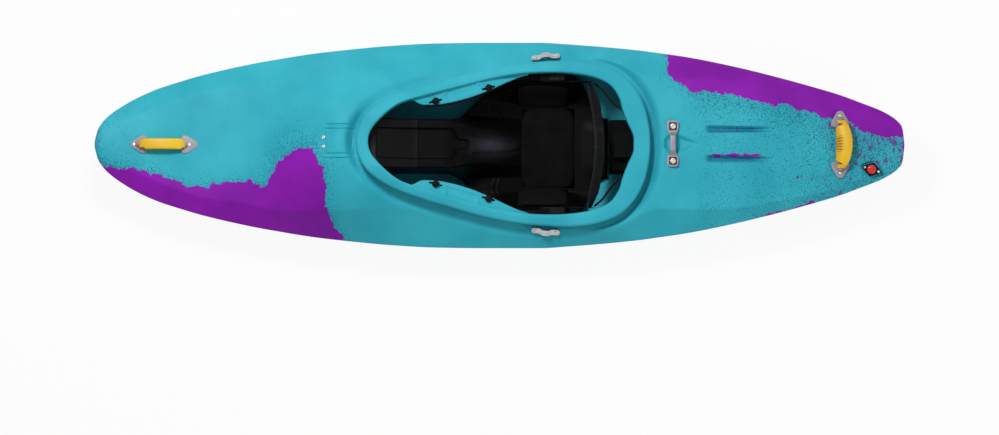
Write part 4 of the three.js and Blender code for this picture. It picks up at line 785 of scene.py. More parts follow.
def from_rim(x, y):
    """Distance outside the rim's outer edge, and the place along the boat of the nearest point on it."""
    points = np.stack((x, y), axis=-1).reshape(-1, 2)
    distance = np.empty(len(points))
    nearest = np.empty(len(points))
    at_once = 4000
    for start in range(0, len(points), at_once):
        batch = slice(start, start + at_once)
        gaps = points[batch, None] - outer_edge[None]
        lengths = np.linalg.norm(gaps, axis=-1)
        index = lengths.argmin(axis=1)
        rows = np.arange(len(index))
        facing = np.einsum("ij,ij->i", gaps[rows, index], rim_out[index])
        distance[batch] = np.where(facing > 0, lengths[rows, index], -lengths[rows, index])
        nearest[batch] = outer_edge[index, 0]
    return distance.reshape(x.shape), nearest.reshape(x.shape)


DRAIN_X = 0.919 * HALF_LENGTH
DRAIN_Y = -0.24 * HALF_BEAM
DRAIN_TURN = 0.9 * math.pi
# Grooves pressed into the deck: start, end, half width at the start and at the end, middle line, depth
DECK_GROOVES = [
    *[(0.614, 0.82, 0.0125, 0.0065, side * 0.044, 0.017) for side in (-1, 1)],
    *[(-0.514, -0.432, 0.005, 0.005, side * y, 0.0045) for side in (-1, 1) for y in (0.037, 0.05)],
]
# Shares of a groove's length over which it begins and runs out
GROOVE_START_SHARES = (-0.03, 0.05)
GROOVE_END_SHARES = (0.58, 1.05)
DIMPLE = SimpleNamespace(start=0.488, widest=0.522, end=0.592, half=0.036, depth=0.013)
TRENCH_BLEND = 0.012
RIM_GROOVE_EDGE = (0.014, 0.04)
# Pocket pressed in round the drain, and the raised seat for its plate. Edges are shares of the plate's edge.
DRAIN_POCKET = SimpleNamespace(
    half_length=0.0275,
    half_width=0.0205,
    power=1.24,
    depth=0.0065,
    seat=0.004,
    edge=(1.14, 1.42),
    seat_edge=(0.86, 0.98),
)


def drain_distance(x, y):
    """Distance from the drain's middle, as a share of the way to the edge of its plate."""
    turn, pocket = DRAIN_TURN, DRAIN_POCKET
    along = (x - DRAIN_X) * math.cos(turn) + (y - DRAIN_Y) * math.sin(turn)
    across = (y - DRAIN_Y) * math.cos(turn) - (x - DRAIN_X) * math.sin(turn)
    shares = np.abs(along) / pocket.half_length, np.abs(across) / pocket.half_width
    return sum(share**pocket.power for share in shares) ** (1 / pocket.power)


def carved(x, y, z, growth):
    """Level of the deck with the rim's trench, the grooves, the dimple and the drain's pocket pressed in."""
    distance, near_x = from_rim(x, y)
    climb = np.maximum(0, distance - growth - TRENCH_WIDTH) * RIM_RISE / TRENCH_SLOPE
    z = lower_of(z, rim_top(near_x) - RIM_RISE - TRENCH_DEPTH + climb, TRENCH_BLEND)
    z = z - RIM_GROOVE_DEPTH * (1 - smooth(*RIM_GROOVE_EDGE, distance - growth))
    for start, end, first_half, last_half, middle, depth in DECK_GROOVES:
        share = (x - start) / (end - start)
        half = mix(first_half, last_half, np.clip(share, 0, 1)) + growth / 2
        inside = 1 - smooth(0.3, 1.05, np.abs(y - middle) / half)
        z = z - depth * inside * window(share, GROOVE_START_SHARES, GROOVE_END_SHARES)
    front = np.clip((x - DIMPLE.start) / (DIMPLE.widest - DIMPLE.start), 0, 1)
    taper = np.clip((DIMPLE.end - x) / (DIMPLE.end - DIMPLE.widest), 0, 1)
    width = DIMPLE.half * np.sqrt(1 - (1 - front) ** 2) * np.minimum(1, taper)
    inside = 1 - smooth(0.4, 1.0, np.abs(y) / np.maximum(width, 0.0001))
    z = z - DIMPLE.depth * inside * smooth(0, 0.3, front) * smooth(0, 0.7, taper)
    share, pocket = drain_distance(x, y), DRAIN_POCKET
    z = z - pocket.depth * (1 - smooth(*pocket.edge, share))
    return z + pocket.seat * (1 - smooth(*pocket.seat_edge, share))


def hull_body(name, stations, counts, growth):
    """Closed skin of the hull, moved in by the growth and with the deck's hollows."""
    x = stations * HALF_LENGTH
    half, top_from = half_sections(x, counts)
    loop = np.concatenate((half, half[-2:0:-1] * (-1, 1)))
    if growth:
        before = loop - np.roll(loop, 1, axis=0)
        after = np.roll(loop, -1, axis=0) - loop
        before /= np.linalg.norm(before, axis=-1, keepdims=True)
        after /= np.linalg.norm(after, axis=-1, keepdims=True)
        outside = np.stack((before[..., 1] + after[..., 1], -before[..., 0] - after[..., 0]), axis=-1)
        outside /= 1 + np.einsum("ijk,ijk->ij", before, after)[..., None]
        loop = loop - outside * growth
    rings = np.empty((len(x), len(loop), 3))
    rings[..., 0] = x[:, None]
    rings[..., 1:] = loop.transpose(1, 0, 2)
    top = slice(top_from, len(loop) - top_from + 1)
    deck = rings[:, top]
    deck[..., 2] = carved(deck[..., 0], deck[..., 1], deck[..., 2] + growth, growth) - growth
    return loft(name, rings)


def rim_profile():
    """Section of the riser and lip: each point's share between the edges, its distance out and its drop."""
    levels = hull_levels(inner_edge[:, 0])
    deck = crown(levels, inner_edge[:, 1])
    foot = RIM_RISE + TRENCH_DEPTH + RIM_GROOVE_DEPTH + HULL_WALL
    foot = np.maximum(foot, rim_top(outer_edge[:, 0]) - deck + RIM_GROOVE_DEPTH + HULL_WALL * 1.5)
    corner = RIM_CORNER
    edge = (LIP_THICKNESS - LIP_DROP) / 2
    points = [(0, 0, foot), (0, 0, RIM_RISE / 2)]
    for a in arc_angles(0, 90, 6):
        points.append((0, corner - corner * math.cos(a), corner - corner * math.sin(a)))
    points += [(0.33, 0.001, LIP_DROP * 0.12), (0.66, -0.002, LIP_DROP * 0.45)]
    for a in arc_angles(0, 180, 13):
        points.append((1, -edge + edge * math.sin(a), LIP_DROP + edge - edge * math.cos(a)))
    under = RISER_THICKNESS + corner
    for a in arc_angles(0, 90, 5):
        points.append((0, under - corner * math.sin(a), LIP_THICKNESS + corner - corner * math.cos(a)))
    points += [(0, RISER_THICKNESS, foot)]
    return points


def rim_ring():
    rings = []
    for share, distance, drop in rim_profile():
        flat = mix(inner_edge, outer_edge, share) + rim_out * distance
        rings.append(np.column_stack((flat, rim_top(outer_edge[:, 0]) - drop)))
    return loft("rim", np.array(rings).transpose(1, 0, 2), wrap=True)


def mouth_tool():
    flat = inner_edge + rim_out * RISER_THICKNESS / 2
    low = float(hull_levels(COCKPIT_CENTRE).seam_z)
    rings = [np.column_stack((flat, np.full(len(flat), level))) for level in (low, low + HULL_HEIGHT)]
    return loft("mouth", np.array(rings))


# Thigh hooks
hook_x = [COCKPIT_CENTRE + share * HALF_COCKPIT for share in HOOK_END_SHARES]
stud_x, stud_end_x = [COCKPIT_CENTRE + share[0] * HALF_COCKPIT for share in STUD_PLACE_SHARES]
stud_y, stud_end_y = [share[1] * HALF_COCKPIT_WIDTH for share in STUD_PLACE_SHARES]
hook_slope = (HOOK_LEVEL_SHARES[1] - HOOK_LEVEL_SHARES[0]) * HULL_HEIGHT / (stud_end_x - stud_x)
STUD_SPAN = 0.165
STUD_RADIUS = 0.0024
BRACE_TRAVEL = 0.036


def hook_top(x):
    return HOOK_LEVEL_SHARES[0] * HULL_HEIGHT + (x - stud_x) * hook_slope


def hook_inner(x):
    return follow(HOOK_EDGE_SHARES, (x - COCKPIT_CENTRE) / HALF_COCKPIT, 1) * HALF_COCKPIT_WIDTH


def rim_inner(x):
    return follow(RIM_OUTLINE_SHARES[:11], (x - COCKPIT_CENTRE) / HALF_COCKPIT, 1) * HALF_COCKPIT_WIDTH


HOOK_RIBS = (-0.162, -0.064)
HOOK_POCKET_EDGE = 0.01
HOOK_RIB_HEIGHT = 0.003
HOOK_POCKET_DEPTH = 0.0022
HOOK_ROOT_RISE = 0.005
LEAST_WIDTH = 0.0003


def hook_flange(side):
    """Flange that reaches in from the rim: a rolled edge, two ribs across it and a shallow pocket between."""
    x = np.linspace(*hook_x, 110)
    outer = rim_inner(x) + RISER_THICKNESS / 2
    inner = np.minimum(hook_inner(x), outer - LEAST_WIDTH)
    inner = mix(outer - LEAST_WIDTH, inner, smooth(0, 0.05, x - hook_x[0]))
    width = outer - inner
    half = HOOK_THICKNESS / 2
    rib = sum(np.exp(-(((x - place) / 0.0045) ** 4)) for place in HOOK_RIBS)
    first, last = HOOK_RIBS
    pocket = window(x, (first, first + HOOK_POCKET_EDGE), (last - HOOK_POCKET_EDGE, last))
    ring = []
    for share in np.linspace(1, 0.16, 9):
        ring.append((inner + np.maximum(width * share, half), hook_top(x) - HOOK_THICKNESS))
    for angle in arc_angles(-75, 75, 7):
        roll = np.minimum(half, width * 0.45)
        ring.append((inner + roll * (1 - math.cos(angle)), hook_top(x) - half + half * math.sin(angle)))
    for share in np.linspace(0.16, 1, 22):
        across = float(window(share, (0.25, 0.4), (0.85, 0.98)))
        beyond_knob = float(smooth(0.58, 0.68, share))
        level = hook_top(x) + HOOK_RIB_HEIGHT * rib * across * beyond_knob
        level = level - HOOK_POCKET_DEPTH * pocket * across
        level = level + HOOK_ROOT_RISE * smooth(0.8, 1.0, share) * np.minimum(width / 0.03, 1)
        ring.append((inner + np.maximum(width * share, np.minimum(half, width)), level))
    rings = np.array([np.column_stack((x, side * y, z)) for y, z in ring]).transpose(1, 0, 2)
    return loft("hook", rings)


def hook_frame(side, distance):
    rise = hook_top(stud_end_x) - hook_top(stud_x)
    along = Vector((stud_end_x - stud_x, stud_end_y - stud_y, rise)).normalized()
    along.y *= side
    up = Vector((-hook_slope, 0, 1)).normalized()
    across = up.cross(along).normalized()
    base = Vector((stud_x, side * stud_y, hook_top(stud_x))) + along * distance
    return frame_matrix(along, across, up, base)


def frame_matrix(along, across, up, base):
    turn = Matrix((along, across, up)).transposed().to_4x4()
    return Matrix.Translation(base) @ turn


# Frames on the hull's skin: +Z points out of the hull and +X runs aft
def skin_frame(x, place):
    step = 0.0001
    at = lambda u, v: Vector((u, *[float(c) for c in place(hull_levels(u), v)]))
    base = at(x, 0)
    along = (at(x + step, 0) - at(x - step, 0)).normalized()
    around = (at(x, step) - at(x, -step)).normalized()
    out = along.cross(around).normalized()
    if out.dot(base - Vector((x, 0, float(hull_levels(x).seam_z)))) < 0:
        out.negate()
    return frame_matrix(along, out.cross(along).normalized(), out, base)


def deck_frame(x, y):
    return skin_frame(x, lambda levels, v: (y + v, crown(levels, y + v)))


def bevel_frame(x, side, share):
    def place(levels, v):
        part = share + v / HALF_BEAM
        return side * mix(levels.seam_y, levels.shoulder_y, part), mix(levels.seam_z, levels.shoulder_z, part)

    return skin_frame(x, place)


def wall_frame(x, side, level):
    here = hull_levels(x)
    share = (level - here.keel_z) / (here.seam_z - here.keel_z)

    def place(levels, v):
        part = share + v / HALF_BEAM
        return side * mix(levels.chine_y, levels.seam_y, part), mix(levels.keel_z, levels.seam_z, part)

    return skin_frame(x, place)


def rod(radius, low, high, matrix, sides=24):
    angles = ring_angles(sides)
    ring = np.column_stack((np.cos(angles) * radius, np.sin(angles) * radius))
    rings = np.array([np.column_stack((ring, np.full(sides, level))) for level in (low, high)])
    made = loft("rod", rings)
    made.data.transform(matrix)
    return made


def slot_tool(side, distance):
    radius = STUD_RADIUS + 0.0006
    half = BRACE_TRAVEL / 2
    angles = np.linspace(-math.pi / 2, math.pi / 2, 12)
    right = np.column_stack((half + np.cos(angles) * radius, np.sin(angles) * radius))
    outline = np.concatenate((right, -right))
    rings = np.array([np.column_stack((outline, np.full(len(outline), level))) for level in (-0.015, 0.008)])
    made = loft("slot", rings)
    made.data.transform(hook_frame(side, distance))
    return made


# Column and row, in pixels of the photograph, of the colour border on the bow's port side, where its first
# points lie along the boat and the rest run out to the side, and on the stern's starboard side
BOW_BORDER = [
    (95, 160), (104, 166), (120, 167), (144, 171.5), (168, 177.5), (188, 186), (200, 187), (222, 184),
    (252, 182), (262, 186.5), (268, 181), (280, 160), (290, 153), (300, 148), (312, 148), (317, 163),
    (324, 167), (326, 190), (327, 205), (335, 223), (345, 238),
]
BOW_BORDER_ALONG = 16
STERN_BORDER = [
    (668, 54), (669, 75), (680, 83), (690, 91), (720, 93), (750, 98), (762, 103), (775, 107), (785, 104),
    (800, 110), (825, 118), (848, 122), (870, 134), (885, 138), (904, 139),
]
# Aft edge of the bow's purple on the port wall: level, and place along the boat
BOW_WALL_EDGE = [
    (0.02, -0.46), (0.05, -0.497), (0.1, -0.499), (0.15, -0.485),
    (0.18, -0.487), (0.22, -0.506), (0.32, -0.506),
]
# Height of the purple band above the keel: against the place along the boat, and for the bow's end
KEEL_BAND = [
    (-0.12, 0), (-0.05, 0.002), (0.4, 0.004), (0.52, 0.01),
    (0.6, 0.018), (0.71, 0.022), (0.8, 0.012), (1.2, 0.01),
]
BOW_KEEL_BAND = SimpleNamespace(end=-0.46, height=0.006)
NOT_PURPLE = -0.05
# Stretches along the boat over which a mark begins and ends
SEAM_STRIPE = SimpleNamespace(width=0.007, start=(0.72, 0.8), end=(0.92, 1.0))
GROOVE_PAINT = SimpleNamespace(width=0.0045, middle=-0.0325, slope=1.5, start=(0.6, 0.64), end=(0.76, 0.82))
GROOVE_BLOTCH = SimpleNamespace(y=0.046, width=0.01, amount=0.85)
# Painted shade inside the aft grooves: their middle line, the edge of the shade across them, and where it
# begins and ends along the boat
GROOVE_SHADE = SimpleNamespace(middle=0.044, edge=(0.006, 0.013), start=(0.612, 0.626), end=(0.74, 0.81))
# The bow's purple stays to port of this level
PORT_LIMIT = 0.02
# The stern's border starts this far out, beside the hull
BESIDE_HULL = 0.4
# Height of the keel's band ahead of its first place, which keeps it off
BEFORE_KEEL_BAND = -0.01
# Specks and blotches: stretches along the boat, clouds round a place, and how much each adds
SPECK_FADE = 0.035
SPECK_WEIGHTS = SimpleNamespace(near=0.9, far=0.75)
AFT_SPECKS = SimpleNamespace(start=(0.5, 0.62), more=(0.75, 1.0), least=0.75, gain=0.25)
BOW_SPECKS = SimpleNamespace(
    x=-0.6, y=0, length=0.13, width=0.16, amount=0.55, tip=(-0.95, -1.1), tip_amount=0.3
)
STERN_BLOTCHES = SimpleNamespace(start=(0.84, 1.04), side=(-0.1, 0.06), least=0.75, gain=0.3)
PORT_BLOTCHES = SimpleNamespace(x=0.885, y=-0.1, length=0.05, width=0.022, amount=0.75)


def from_pixels(border):
    """Places on the hull of points given in the photograph."""
    picked = np.array(border, float)
    x = (picked[:, 0] - CENTRE_COLUMN) * METRES_PER_PIXEL
    y = (CENTRE_ROW - picked[:, 1]) * METRES_PER_PIXEL
    level = hull_levels(x)
    return x, y - (level.deck_z - level.seam_z) * math.tan(CAMERA_TILT)


def line_distance(x, y, line_x, line_y):
    """Distance from points to a line of straight stretches."""
    best = np.full(x.shape, np.inf)
    for i in range(len(line_x) - 1):
        ax, ay, bx, by = line_x[i], line_y[i], line_x[i + 1], line_y[i + 1]
        t = np.clip(((x - ax) * (bx - ax) + (y - ay) * (by - ay)) / ((bx - ax) ** 2 + (by - ay) ** 2), 0, 1)
        best = np.minimum(best, np.hypot(x - ax - t * (bx - ax), y - ay - t * (by - ay)))
    return best


def cloud(x, y, place):
    """One at a place, falling away over its length and its width."""
    return np.exp(-(((x - place.x) / place.length) ** 2) - (((y - place.y) / place.width) ** 2))


def paint(hull):
    """Stores how far each point is inside the purple, how thick its specks and blotches are, and the painted
    shade inside the aft grooves.
    """
    mesh = hull.data
    x, y, z = vectors(mesh.vertices, "co").T
    levels = hull_levels(x)
    bow_x, bow_y = from_pixels(BOW_BORDER)
    stern_x, stern_y = from_pixels(STERN_BORDER)
    wall_levels, wall_places = np.array(BOW_WALL_EDGE).T
    band_places, band_heights = np.array(KEEL_BAND).T
    count = BOW_BORDER_ALONG
    below = np.interp(x, bow_x[:count], bow_y[:count], left=1) - y
    before_edge = x < np.interp(-y, -bow_y[count - 1 :], bow_x[count - 1 :])
    ahead = np.interp(z, wall_levels, wall_places) - x
    on_top = z > levels.seam_z
    inside_bow = np.where(on_top, (below > 0) & before_edge, ahead > 0)
    inside_bow &= y < PORT_LIMIT
    bow_gap = np.where(on_top, line_distance(x, y, bow_x, bow_y), np.abs(ahead))
    bow = np.where(inside_bow, bow_gap, -bow_gap)
    inside_stern = (x > stern_x[0]) & (y > np.interp(x, stern_x, stern_y))
    stern_gap = line_distance(x, y, np.append(stern_x[0], stern_x), np.append(BESIDE_HULL, stern_y))
    stern = np.where(inside_stern, stern_gap, -stern_gap)
    keel = np.interp(x, band_places, band_heights, left=BEFORE_KEEL_BAND) - (z - levels.keel_z)
    bottom = np.where(x < BOW_KEEL_BAND.end, BOW_KEEL_BAND.height - (z - levels.keel_z), keel)
    purple = np.maximum(np.maximum(bow, stern), bottom)
    near = np.exp(-np.maximum(0, -purple) / SPECK_FADE)
    aft = AFT_SPECKS.least + AFT_SPECKS.gain * smooth(*AFT_SPECKS.more, x)
    aft = smooth(*AFT_SPECKS.start, x) * aft
    fore = BOW_SPECKS.amount * cloud(x, y, BOW_SPECKS) + BOW_SPECKS.tip_amount * smooth(*BOW_SPECKS.tip, x)
    specks = np.clip(near * SPECK_WEIGHTS.near + np.maximum(aft, fore) * SPECK_WEIGHTS.far, 0, 1)
    blotches = STERN_BLOTCHES.least + STERN_BLOTCHES.gain * smooth(*STERN_BLOTCHES.side, y)
    blotches = smooth(*STERN_BLOTCHES.start, x) * blotches
    blotches = blotches + PORT_BLOTCHES.amount * cloud(x, y, PORT_BLOTCHES)
    from_seam = np.hypot(-y - levels.seam_y, z - levels.seam_z)
    in_stripe = window(x, SEAM_STRIPE.start, SEAM_STRIPE.end)
    stripe = SEAM_STRIPE.width * in_stripe - from_seam + NOT_PURPLE * (1 - in_stripe)
    purple = np.maximum(purple, np.where(y < 0, stripe, NOT_PURPLE))
    in_groove = window(x, GROOVE_PAINT.start, GROOVE_PAINT.end)
    line = GROOVE_PAINT.width * in_groove - np.abs(y - GROOVE_PAINT.middle) * GROOVE_PAINT.slope
    purple = np.maximum(purple, line + NOT_PURPLE * (1 - in_groove))
    blotches = blotches + GROOVE_BLOTCH.amount * in_groove * ridge(y - GROOVE_BLOTCH.y, GROOVE_BLOTCH.width)
    _, normal_y, normal_z = vectors(mesh.vertex_normals, "vector").T
    inner = y * normal_y + (z - mix(levels.keel_z, levels.deck_z, 0.5)) * normal_z < 0
    # Painted shade that darkens the inside of the aft grooves
    off_middle = np.abs(np.abs(y) - GROOVE_SHADE.middle)
    grooves = window(x, GROOVE_SHADE.start, GROOVE_SHADE.end) * (1 - smooth(*GROOVE_SHADE.edge, off_middle))
    store(mesh, "purple", np.where(inner, NOT_PURPLE, purple))
    store(mesh, "specks", np.where(inner, 0, specks))
    store(mesh, "blotches", np.where(inner, 0, np.clip(blotches, 0, 1)))
    store(mesh, "grooves", np.where(inner, 0, grooves))


def inside_space(growth):
    """The space in the hull, as far in from its skin as the growth."""
    stations = np.linspace(-INNER_END_SHARE, INNER_END_SHARE, 240)
    return hull_body("inside_space", stations, (4, 3, 4, 8, 40), growth)


def add_hull():
    spaced = np.linspace(-1, 1, 520)
    stations = spaced * 0.2 + np.sin(spaced * math.pi / 2) * 0.8
    hull = hull_body("hull_skin", stations, (9, 7, 9, 16, 110), 0)
    combine(hull, inside_space(HULL_WALL), "DIFFERENCE")
    combine(hull, mouth_tool(), "DIFFERENCE")
    combine(hull, rim_ring(), "UNION")
    for _, side in SIDES:
        combine(hull, hook_flange(side), "UNION")
        for distance in (0, STUD_SPAN):
            combine(hull, slot_tool(side, distance), "DIFFERENCE")
    paint(hull)
    shade(hull, 40)
    finish_piece(hull, "hull_plastic", "root", "hull_shell")


# Small solids
CLEARANCE = 0.0003
SCREW = SimpleNamespace(head=0.006, height=0.003, shank=0.0025, length=0.016)
BOLT = SimpleNamespace(head=0.009, height=0.0055, shank=0.004, length=0.026)


def ring_of(count):
    angles = ring_angles(count)
    return np.column_stack((np.cos(angles), np.sin(angles)))


def turned(name, profile, count=48, wrap=False):
    """Solid turned about Z from radii and levels. A radius may be given for each point round the ring."""
    unit = ring_of(count)
    rings = [
        np.column_stack((unit * np.reshape(radius, (-1, 1)), np.full(count, level)))
        for radius, level in profile
    ]
    return loft(name, rings, wrap)


def rounded_outline(corners, radius, steps=8):
    """Outline with each corner rounded, as points in order."""
    corners = np.array(corners, float)
    t = np.linspace(0, 1, steps)[:, None]
    points = []
    for before, at, after in zip(np.roll(corners, 1, 0), corners, np.roll(corners, -1, 0)):
        ends = []
        for to in (before, after):
            length = np.linalg.norm(to - at)
            ends.append((to - at) / length * min(radius, 0.48 * length))
        points.append(at + (1 - t) ** 3 * ends[0] + t**3 * ends[1])
    return np.concatenate(points)


def inset_outline(outline, inset):
    before = outline - np.roll(outline, 1, axis=0)
    after = np.roll(outline, -1, axis=0) - outline
    before /= np.linalg.norm(before, axis=1, keepdims=True)
    after /= np.linalg.norm(after, axis=1, keepdims=True)
    mitre = before + after
    outside = np.column_stack((mitre[:, 1], -mitre[:, 0])) / (1 + np.sum(before * after, axis=1))[:, None]
    return outline - outside * inset


def slab(name, outline, rows):
    """Flat solid from an outline, given its inset at each level."""
    area = np.sum(outline[:, 0] * np.roll(outline[:, 1], -1) - outline[:, 1] * np.roll(outline[:, 0], -1))
    outline = outline if area > 0 else outline[::-1]
    levels = [np.full(len(outline), level) for _, level in rows]
    rings = [np.column_stack((inset_outline(outline, inset), z)) for (inset, _), z in zip(rows, levels)]
    return loft(name, rings)


def rounded_rows(top, radius, count):
    """Inset and level of each row of a rounded top edge."""
    return [(radius * (1 - math.cos(a)), top - radius * (1 - math.sin(a))) for a in arc_angles(0, 90, count)]


def plate_rows(low, thickness, radius, undercut=0.0012):
    """Levels of a plate with a rounded top edge and a shadow gap round its foot."""
    rows = [(undercut, low), (undercut, undercut), (0, undercut * 1.5)]
    return rows + rounded_rows(thickness, radius, 5)


def rounded_box(half, low, top, radius):
    return rounded_outline(rectangle(-half, half, low, top), radius, 5)


def bar(name, places, halves, lows, tops, radius):
    """Bar along X whose section is a rounded box that changes along it."""
    rings = []
    for x, half, low, top in zip(places, halves, lows, tops):
        section = rounded_box(half, low, top, radius)
        rings.append(np.column_stack((np.full(len(section), x), section)))
    return loft(name, rings)


def end_drop(distance, radius):
    """How far a rounded end falls back at a distance from its tip."""
    gap = np.clip(radius - distance, 0, radius)
    return radius - np.sqrt(radius**2 - gap**2)


def layer(name, places, half_at, low_at, top_at, columns=80, middle=0.0):
    """Solid between two levels over a patch, in rows along X."""
    share = np.sin(np.linspace(-math.pi / 2, math.pi / 2, columns))
    x, share = np.meshgrid(places, share, indexing="ij")
    y = middle + half_at(x) * share
    top = np.dstack((x, y, top_at(x, y)))
    low = np.dstack((x, y, low_at(x, y)))
    return loft(name, np.concatenate((top, low[:, ::-1]), axis=1))


def centripetal(points, steps):
    """Smooth open curve through points."""
    points = np.array(points, float)
    points = np.concatenate(([2 * points[0] - points[1]], points, [2 * points[-1] - points[-2]]))
    curve = []
    t = np.linspace(0, 1, steps, endpoint=False)[:, None]
    for four in zip(points, points[1:], points[2:], points[3:]):
        gaps = [math.sqrt(np.linalg.norm(b - a)) for a, b in zip(four, four[1:])]
        curve.append(smooth_stretch(*four, *gaps, t))
    return np.concatenate(curve + [points[None, -2]])


def tube(name, path, radius, sides=16):
    """Round tube along a path, with rounded ends."""
    path = np.array(path, float)
    along = np.gradient(path, axis=0)
    along /= np.linalg.norm(along, axis=1, keepdims=True)
    across = np.cross(along[0], (0, 0, 1.0))
    unit = ring_of(sides)
    travelled = np.concatenate(([0], np.cumsum(np.linalg.norm(np.diff(path, axis=0), axis=1))))
    from_end = np.minimum(travelled, travelled[-1] - travelled)
    rings = []
    for point, direction, distance in zip(path, along, from_end):
        across = across - direction * across.dot(direction)
        across /= np.linalg.norm(across)
        size = radius - end_drop(distance, radius * 0.6)
        rings.append(point + (unit[:, :1] * across + unit[:, 1:] * np.cross(direction, across)) * size)
    return loft(name, rings)


def add_fastener(node, at, kind, lift, x=0.0, y=0.0, head=1.0):
    """Button head with a six-sided socket, on its shank; the head's share makes it smaller."""
    kind = SimpleNamespace(head=kind.head * head, height=kind.height, shank=kind.shank, length=kind.length)
    count = 48
    angles = ring_angles(count) % (math.pi / 3) - math.pi / 6
    socket = kind.head * 0.46 * math.cos(math.pi / 6) / np.cos(angles)
    profile = [(kind.shank * 0.8, -kind.length), (kind.shank, 0.001 - kind.length), (kind.shank, 0)]
    profile += [(kind.head * 0.95, 0), (kind.head, kind.height * 0.08)]
    for a in arc_angles(0, 90, 7):
        profile.append((kind.head * (0.58 + 0.42 * math.cos(a)), kind.height * (0.25 + 0.75 * math.sin(a))))
    profile += [(socket, kind.height * 0.96), (socket * 0.96, kind.height * 0.35)]
    made = turned(f"{node}_head", profile, count)
    made.data.transform(at @ Matrix.Translation((x, y, lift)))
    finish_piece(shade(made), "stainless_steel", "root", node)


# Handles
GRIP_WIDTH = 0.032
GRIP_THICKNESS = 0.013
GRIP_RISE = 0.036
HANDLE_PLATE_LENGTH = 0.05
HANDLE_PLATE_WIDTH = 0.055
HANDLE_PLATE_THICKNESS = 0.005
KNUCKLE_RADIUS = 0.0054
KNUCKLE_LENGTH = 0.0065
GRIP_LEVEL = 0.0148
GRIP_END_THICKNESS = 0.0045
GRIP_RECESS = 0.004
GRIP_END_REACH = 0.0103
PLATE_CORNER_SHARES = [
    (-0.5, -0.34), (-0.38, -0.5), (-0.12, -0.47), (0.5, -0.13),
    (0.5, 0.13), (-0.12, 0.47), (-0.38, 0.5), (-0.5, 0.34),
]


# Shares of the grip's span, but for the size of its ends, its lean and its slope, and powers that round it
GRIP_SHARES = SimpleNamespace(
    end=0.012, end_size=0.75, widening=0.13, thickening=0.1, ribs=0.36, rib_end=(0.165, 0.18),
    dent=0.1, dent_length=0.03, shoulder=(0.085, 0.12), turn=0.12, lean=0.8, slope=0.8,
)
GRIP_POWERS = SimpleNamespace(arch=0.8, side=0.5, top=0.7, dent=4, tilt=1.5)
GRIP_RIBS = SimpleNamespace(forward=(0.1, 0.3), top=0.4, hollow=(0.4, 0.7))
GRIP_SHADE = SimpleNamespace(strength=0.3, forward=(0.3, 0.9), top=0.5)


def grip(name, span, lean, tilt, end_half, rib_count, notch):
    """Strap that arches between two knuckles, its forward edge let down, with finger ribs on top."""
    t, angle = np.meshgrid(np.linspace(0, 1, 220), ring_angles(44), indexing="ij")
    shares, powers = GRIP_SHARES, GRIP_POWERS
    ribbed = rib_count > 0
    from_end = np.minimum(t, 1 - t)
    arch = np.sin(math.pi * t) ** powers.arch
    height = GRIP_RISE - GRIP_THICKNESS / 2 - GRIP_LEVEL
    rounded = np.sqrt(1 - (1 - np.clip(from_end / shares.end, 0, 1)) ** 2)
    end = shares.end_size + (1 - shares.end_size) * rounded
    half = mix(end_half, GRIP_WIDTH / 2, smooth(0, shares.widening, from_end)) * end
    thick = mix(GRIP_END_THICKNESS, GRIP_THICKNESS / 2, smooth(0, shares.thickening, from_end)) * end
    wave = 0.5 + 0.5 * np.cos((t - 0.5) * rib_count * 2 * math.pi / shares.ribs)
    c, s = np.cos(angle), np.sin(angle)
    side = np.sign(c) * np.abs(c) ** powers.side * half
    up = np.sign(s) * np.abs(s) ** powers.top * thick
    rib = ribbed * (1 - smooth(*shares.rib_end, np.abs(t - 0.5)))
    rib = rib * smooth(*GRIP_RIBS.forward, -c) * smooth(0, GRIP_RIBS.top, s)
    recess = smooth(*GRIP_RIBS.hollow, wave) * rib
    up = up - GRIP_RECESS * recess
    first = np.exp(-(((t - shares.dent) / shares.dent_length) ** powers.dent))
    last = np.exp(-(((t - (1 - shares.dent)) / shares.dent_length) ** powers.dent))
    dent = first + ribbed * last
    side = np.where(c < 0, side * (1 - notch * dent), side)
    side = np.maximum(side, -mix(GRIP_END_REACH, GRIP_WIDTH, smooth(*shares.shoulder, from_end)))
    forward = np.clip(-side / (GRIP_WIDTH / 2), 0, 1) * (1 - dent * ribbed)
    side, up = side - lean * arch * forward * shares.lean, up - tilt * arch * forward**powers.tilt
    slope = np.cos(math.pi * t) * GRIP_RISE * math.pi / span * shares.slope
    turn = np.arctan(slope) * smooth(0, shares.turn, from_end)
    rings = np.dstack((
        (t - 0.5) * span - np.sin(turn) * up,
        lean * arch + side,
        GRIP_LEVEL + height * arch + np.cos(turn) * up,
    ))
    made = loft(name, rings)
    # Painted shade, stored for the material: the hollows between the ribs and the forward face are coloured
    # darker
    front = GRIP_SHADE.strength * smooth(*GRIP_SHADE.forward, forward) * smooth(0, GRIP_SHADE.top, s) * ribbed
    store(made.data, "shade_share", np.append(np.maximum(recess, front).ravel(), (0, 0)))
    return made


def knuckle(start, end):
    radius = KNUCKLE_RADIUS
    section = [(radius * math.cos(a), GRIP_LEVEL + radius * math.sin(a)) for a in arc_angles(0, 180, 17)]
    section += [(side * radius * 1.15, HANDLE_PLATE_THICKNESS / 2) for side in (-1, 1)]
    section = np.array(section)
    inset = np.sign(end - start) * 0.0008
    rings = []
    for x, size in ((start, 0.9), (start + inset, 1), (end - inset, 1), (end, 0.9)):
        about = (0, GRIP_LEVEL) + (section - (0, GRIP_LEVEL)) * size
        rings.append(np.column_stack((np.full(len(about), x), about)))
    return loft("knuckle", rings)


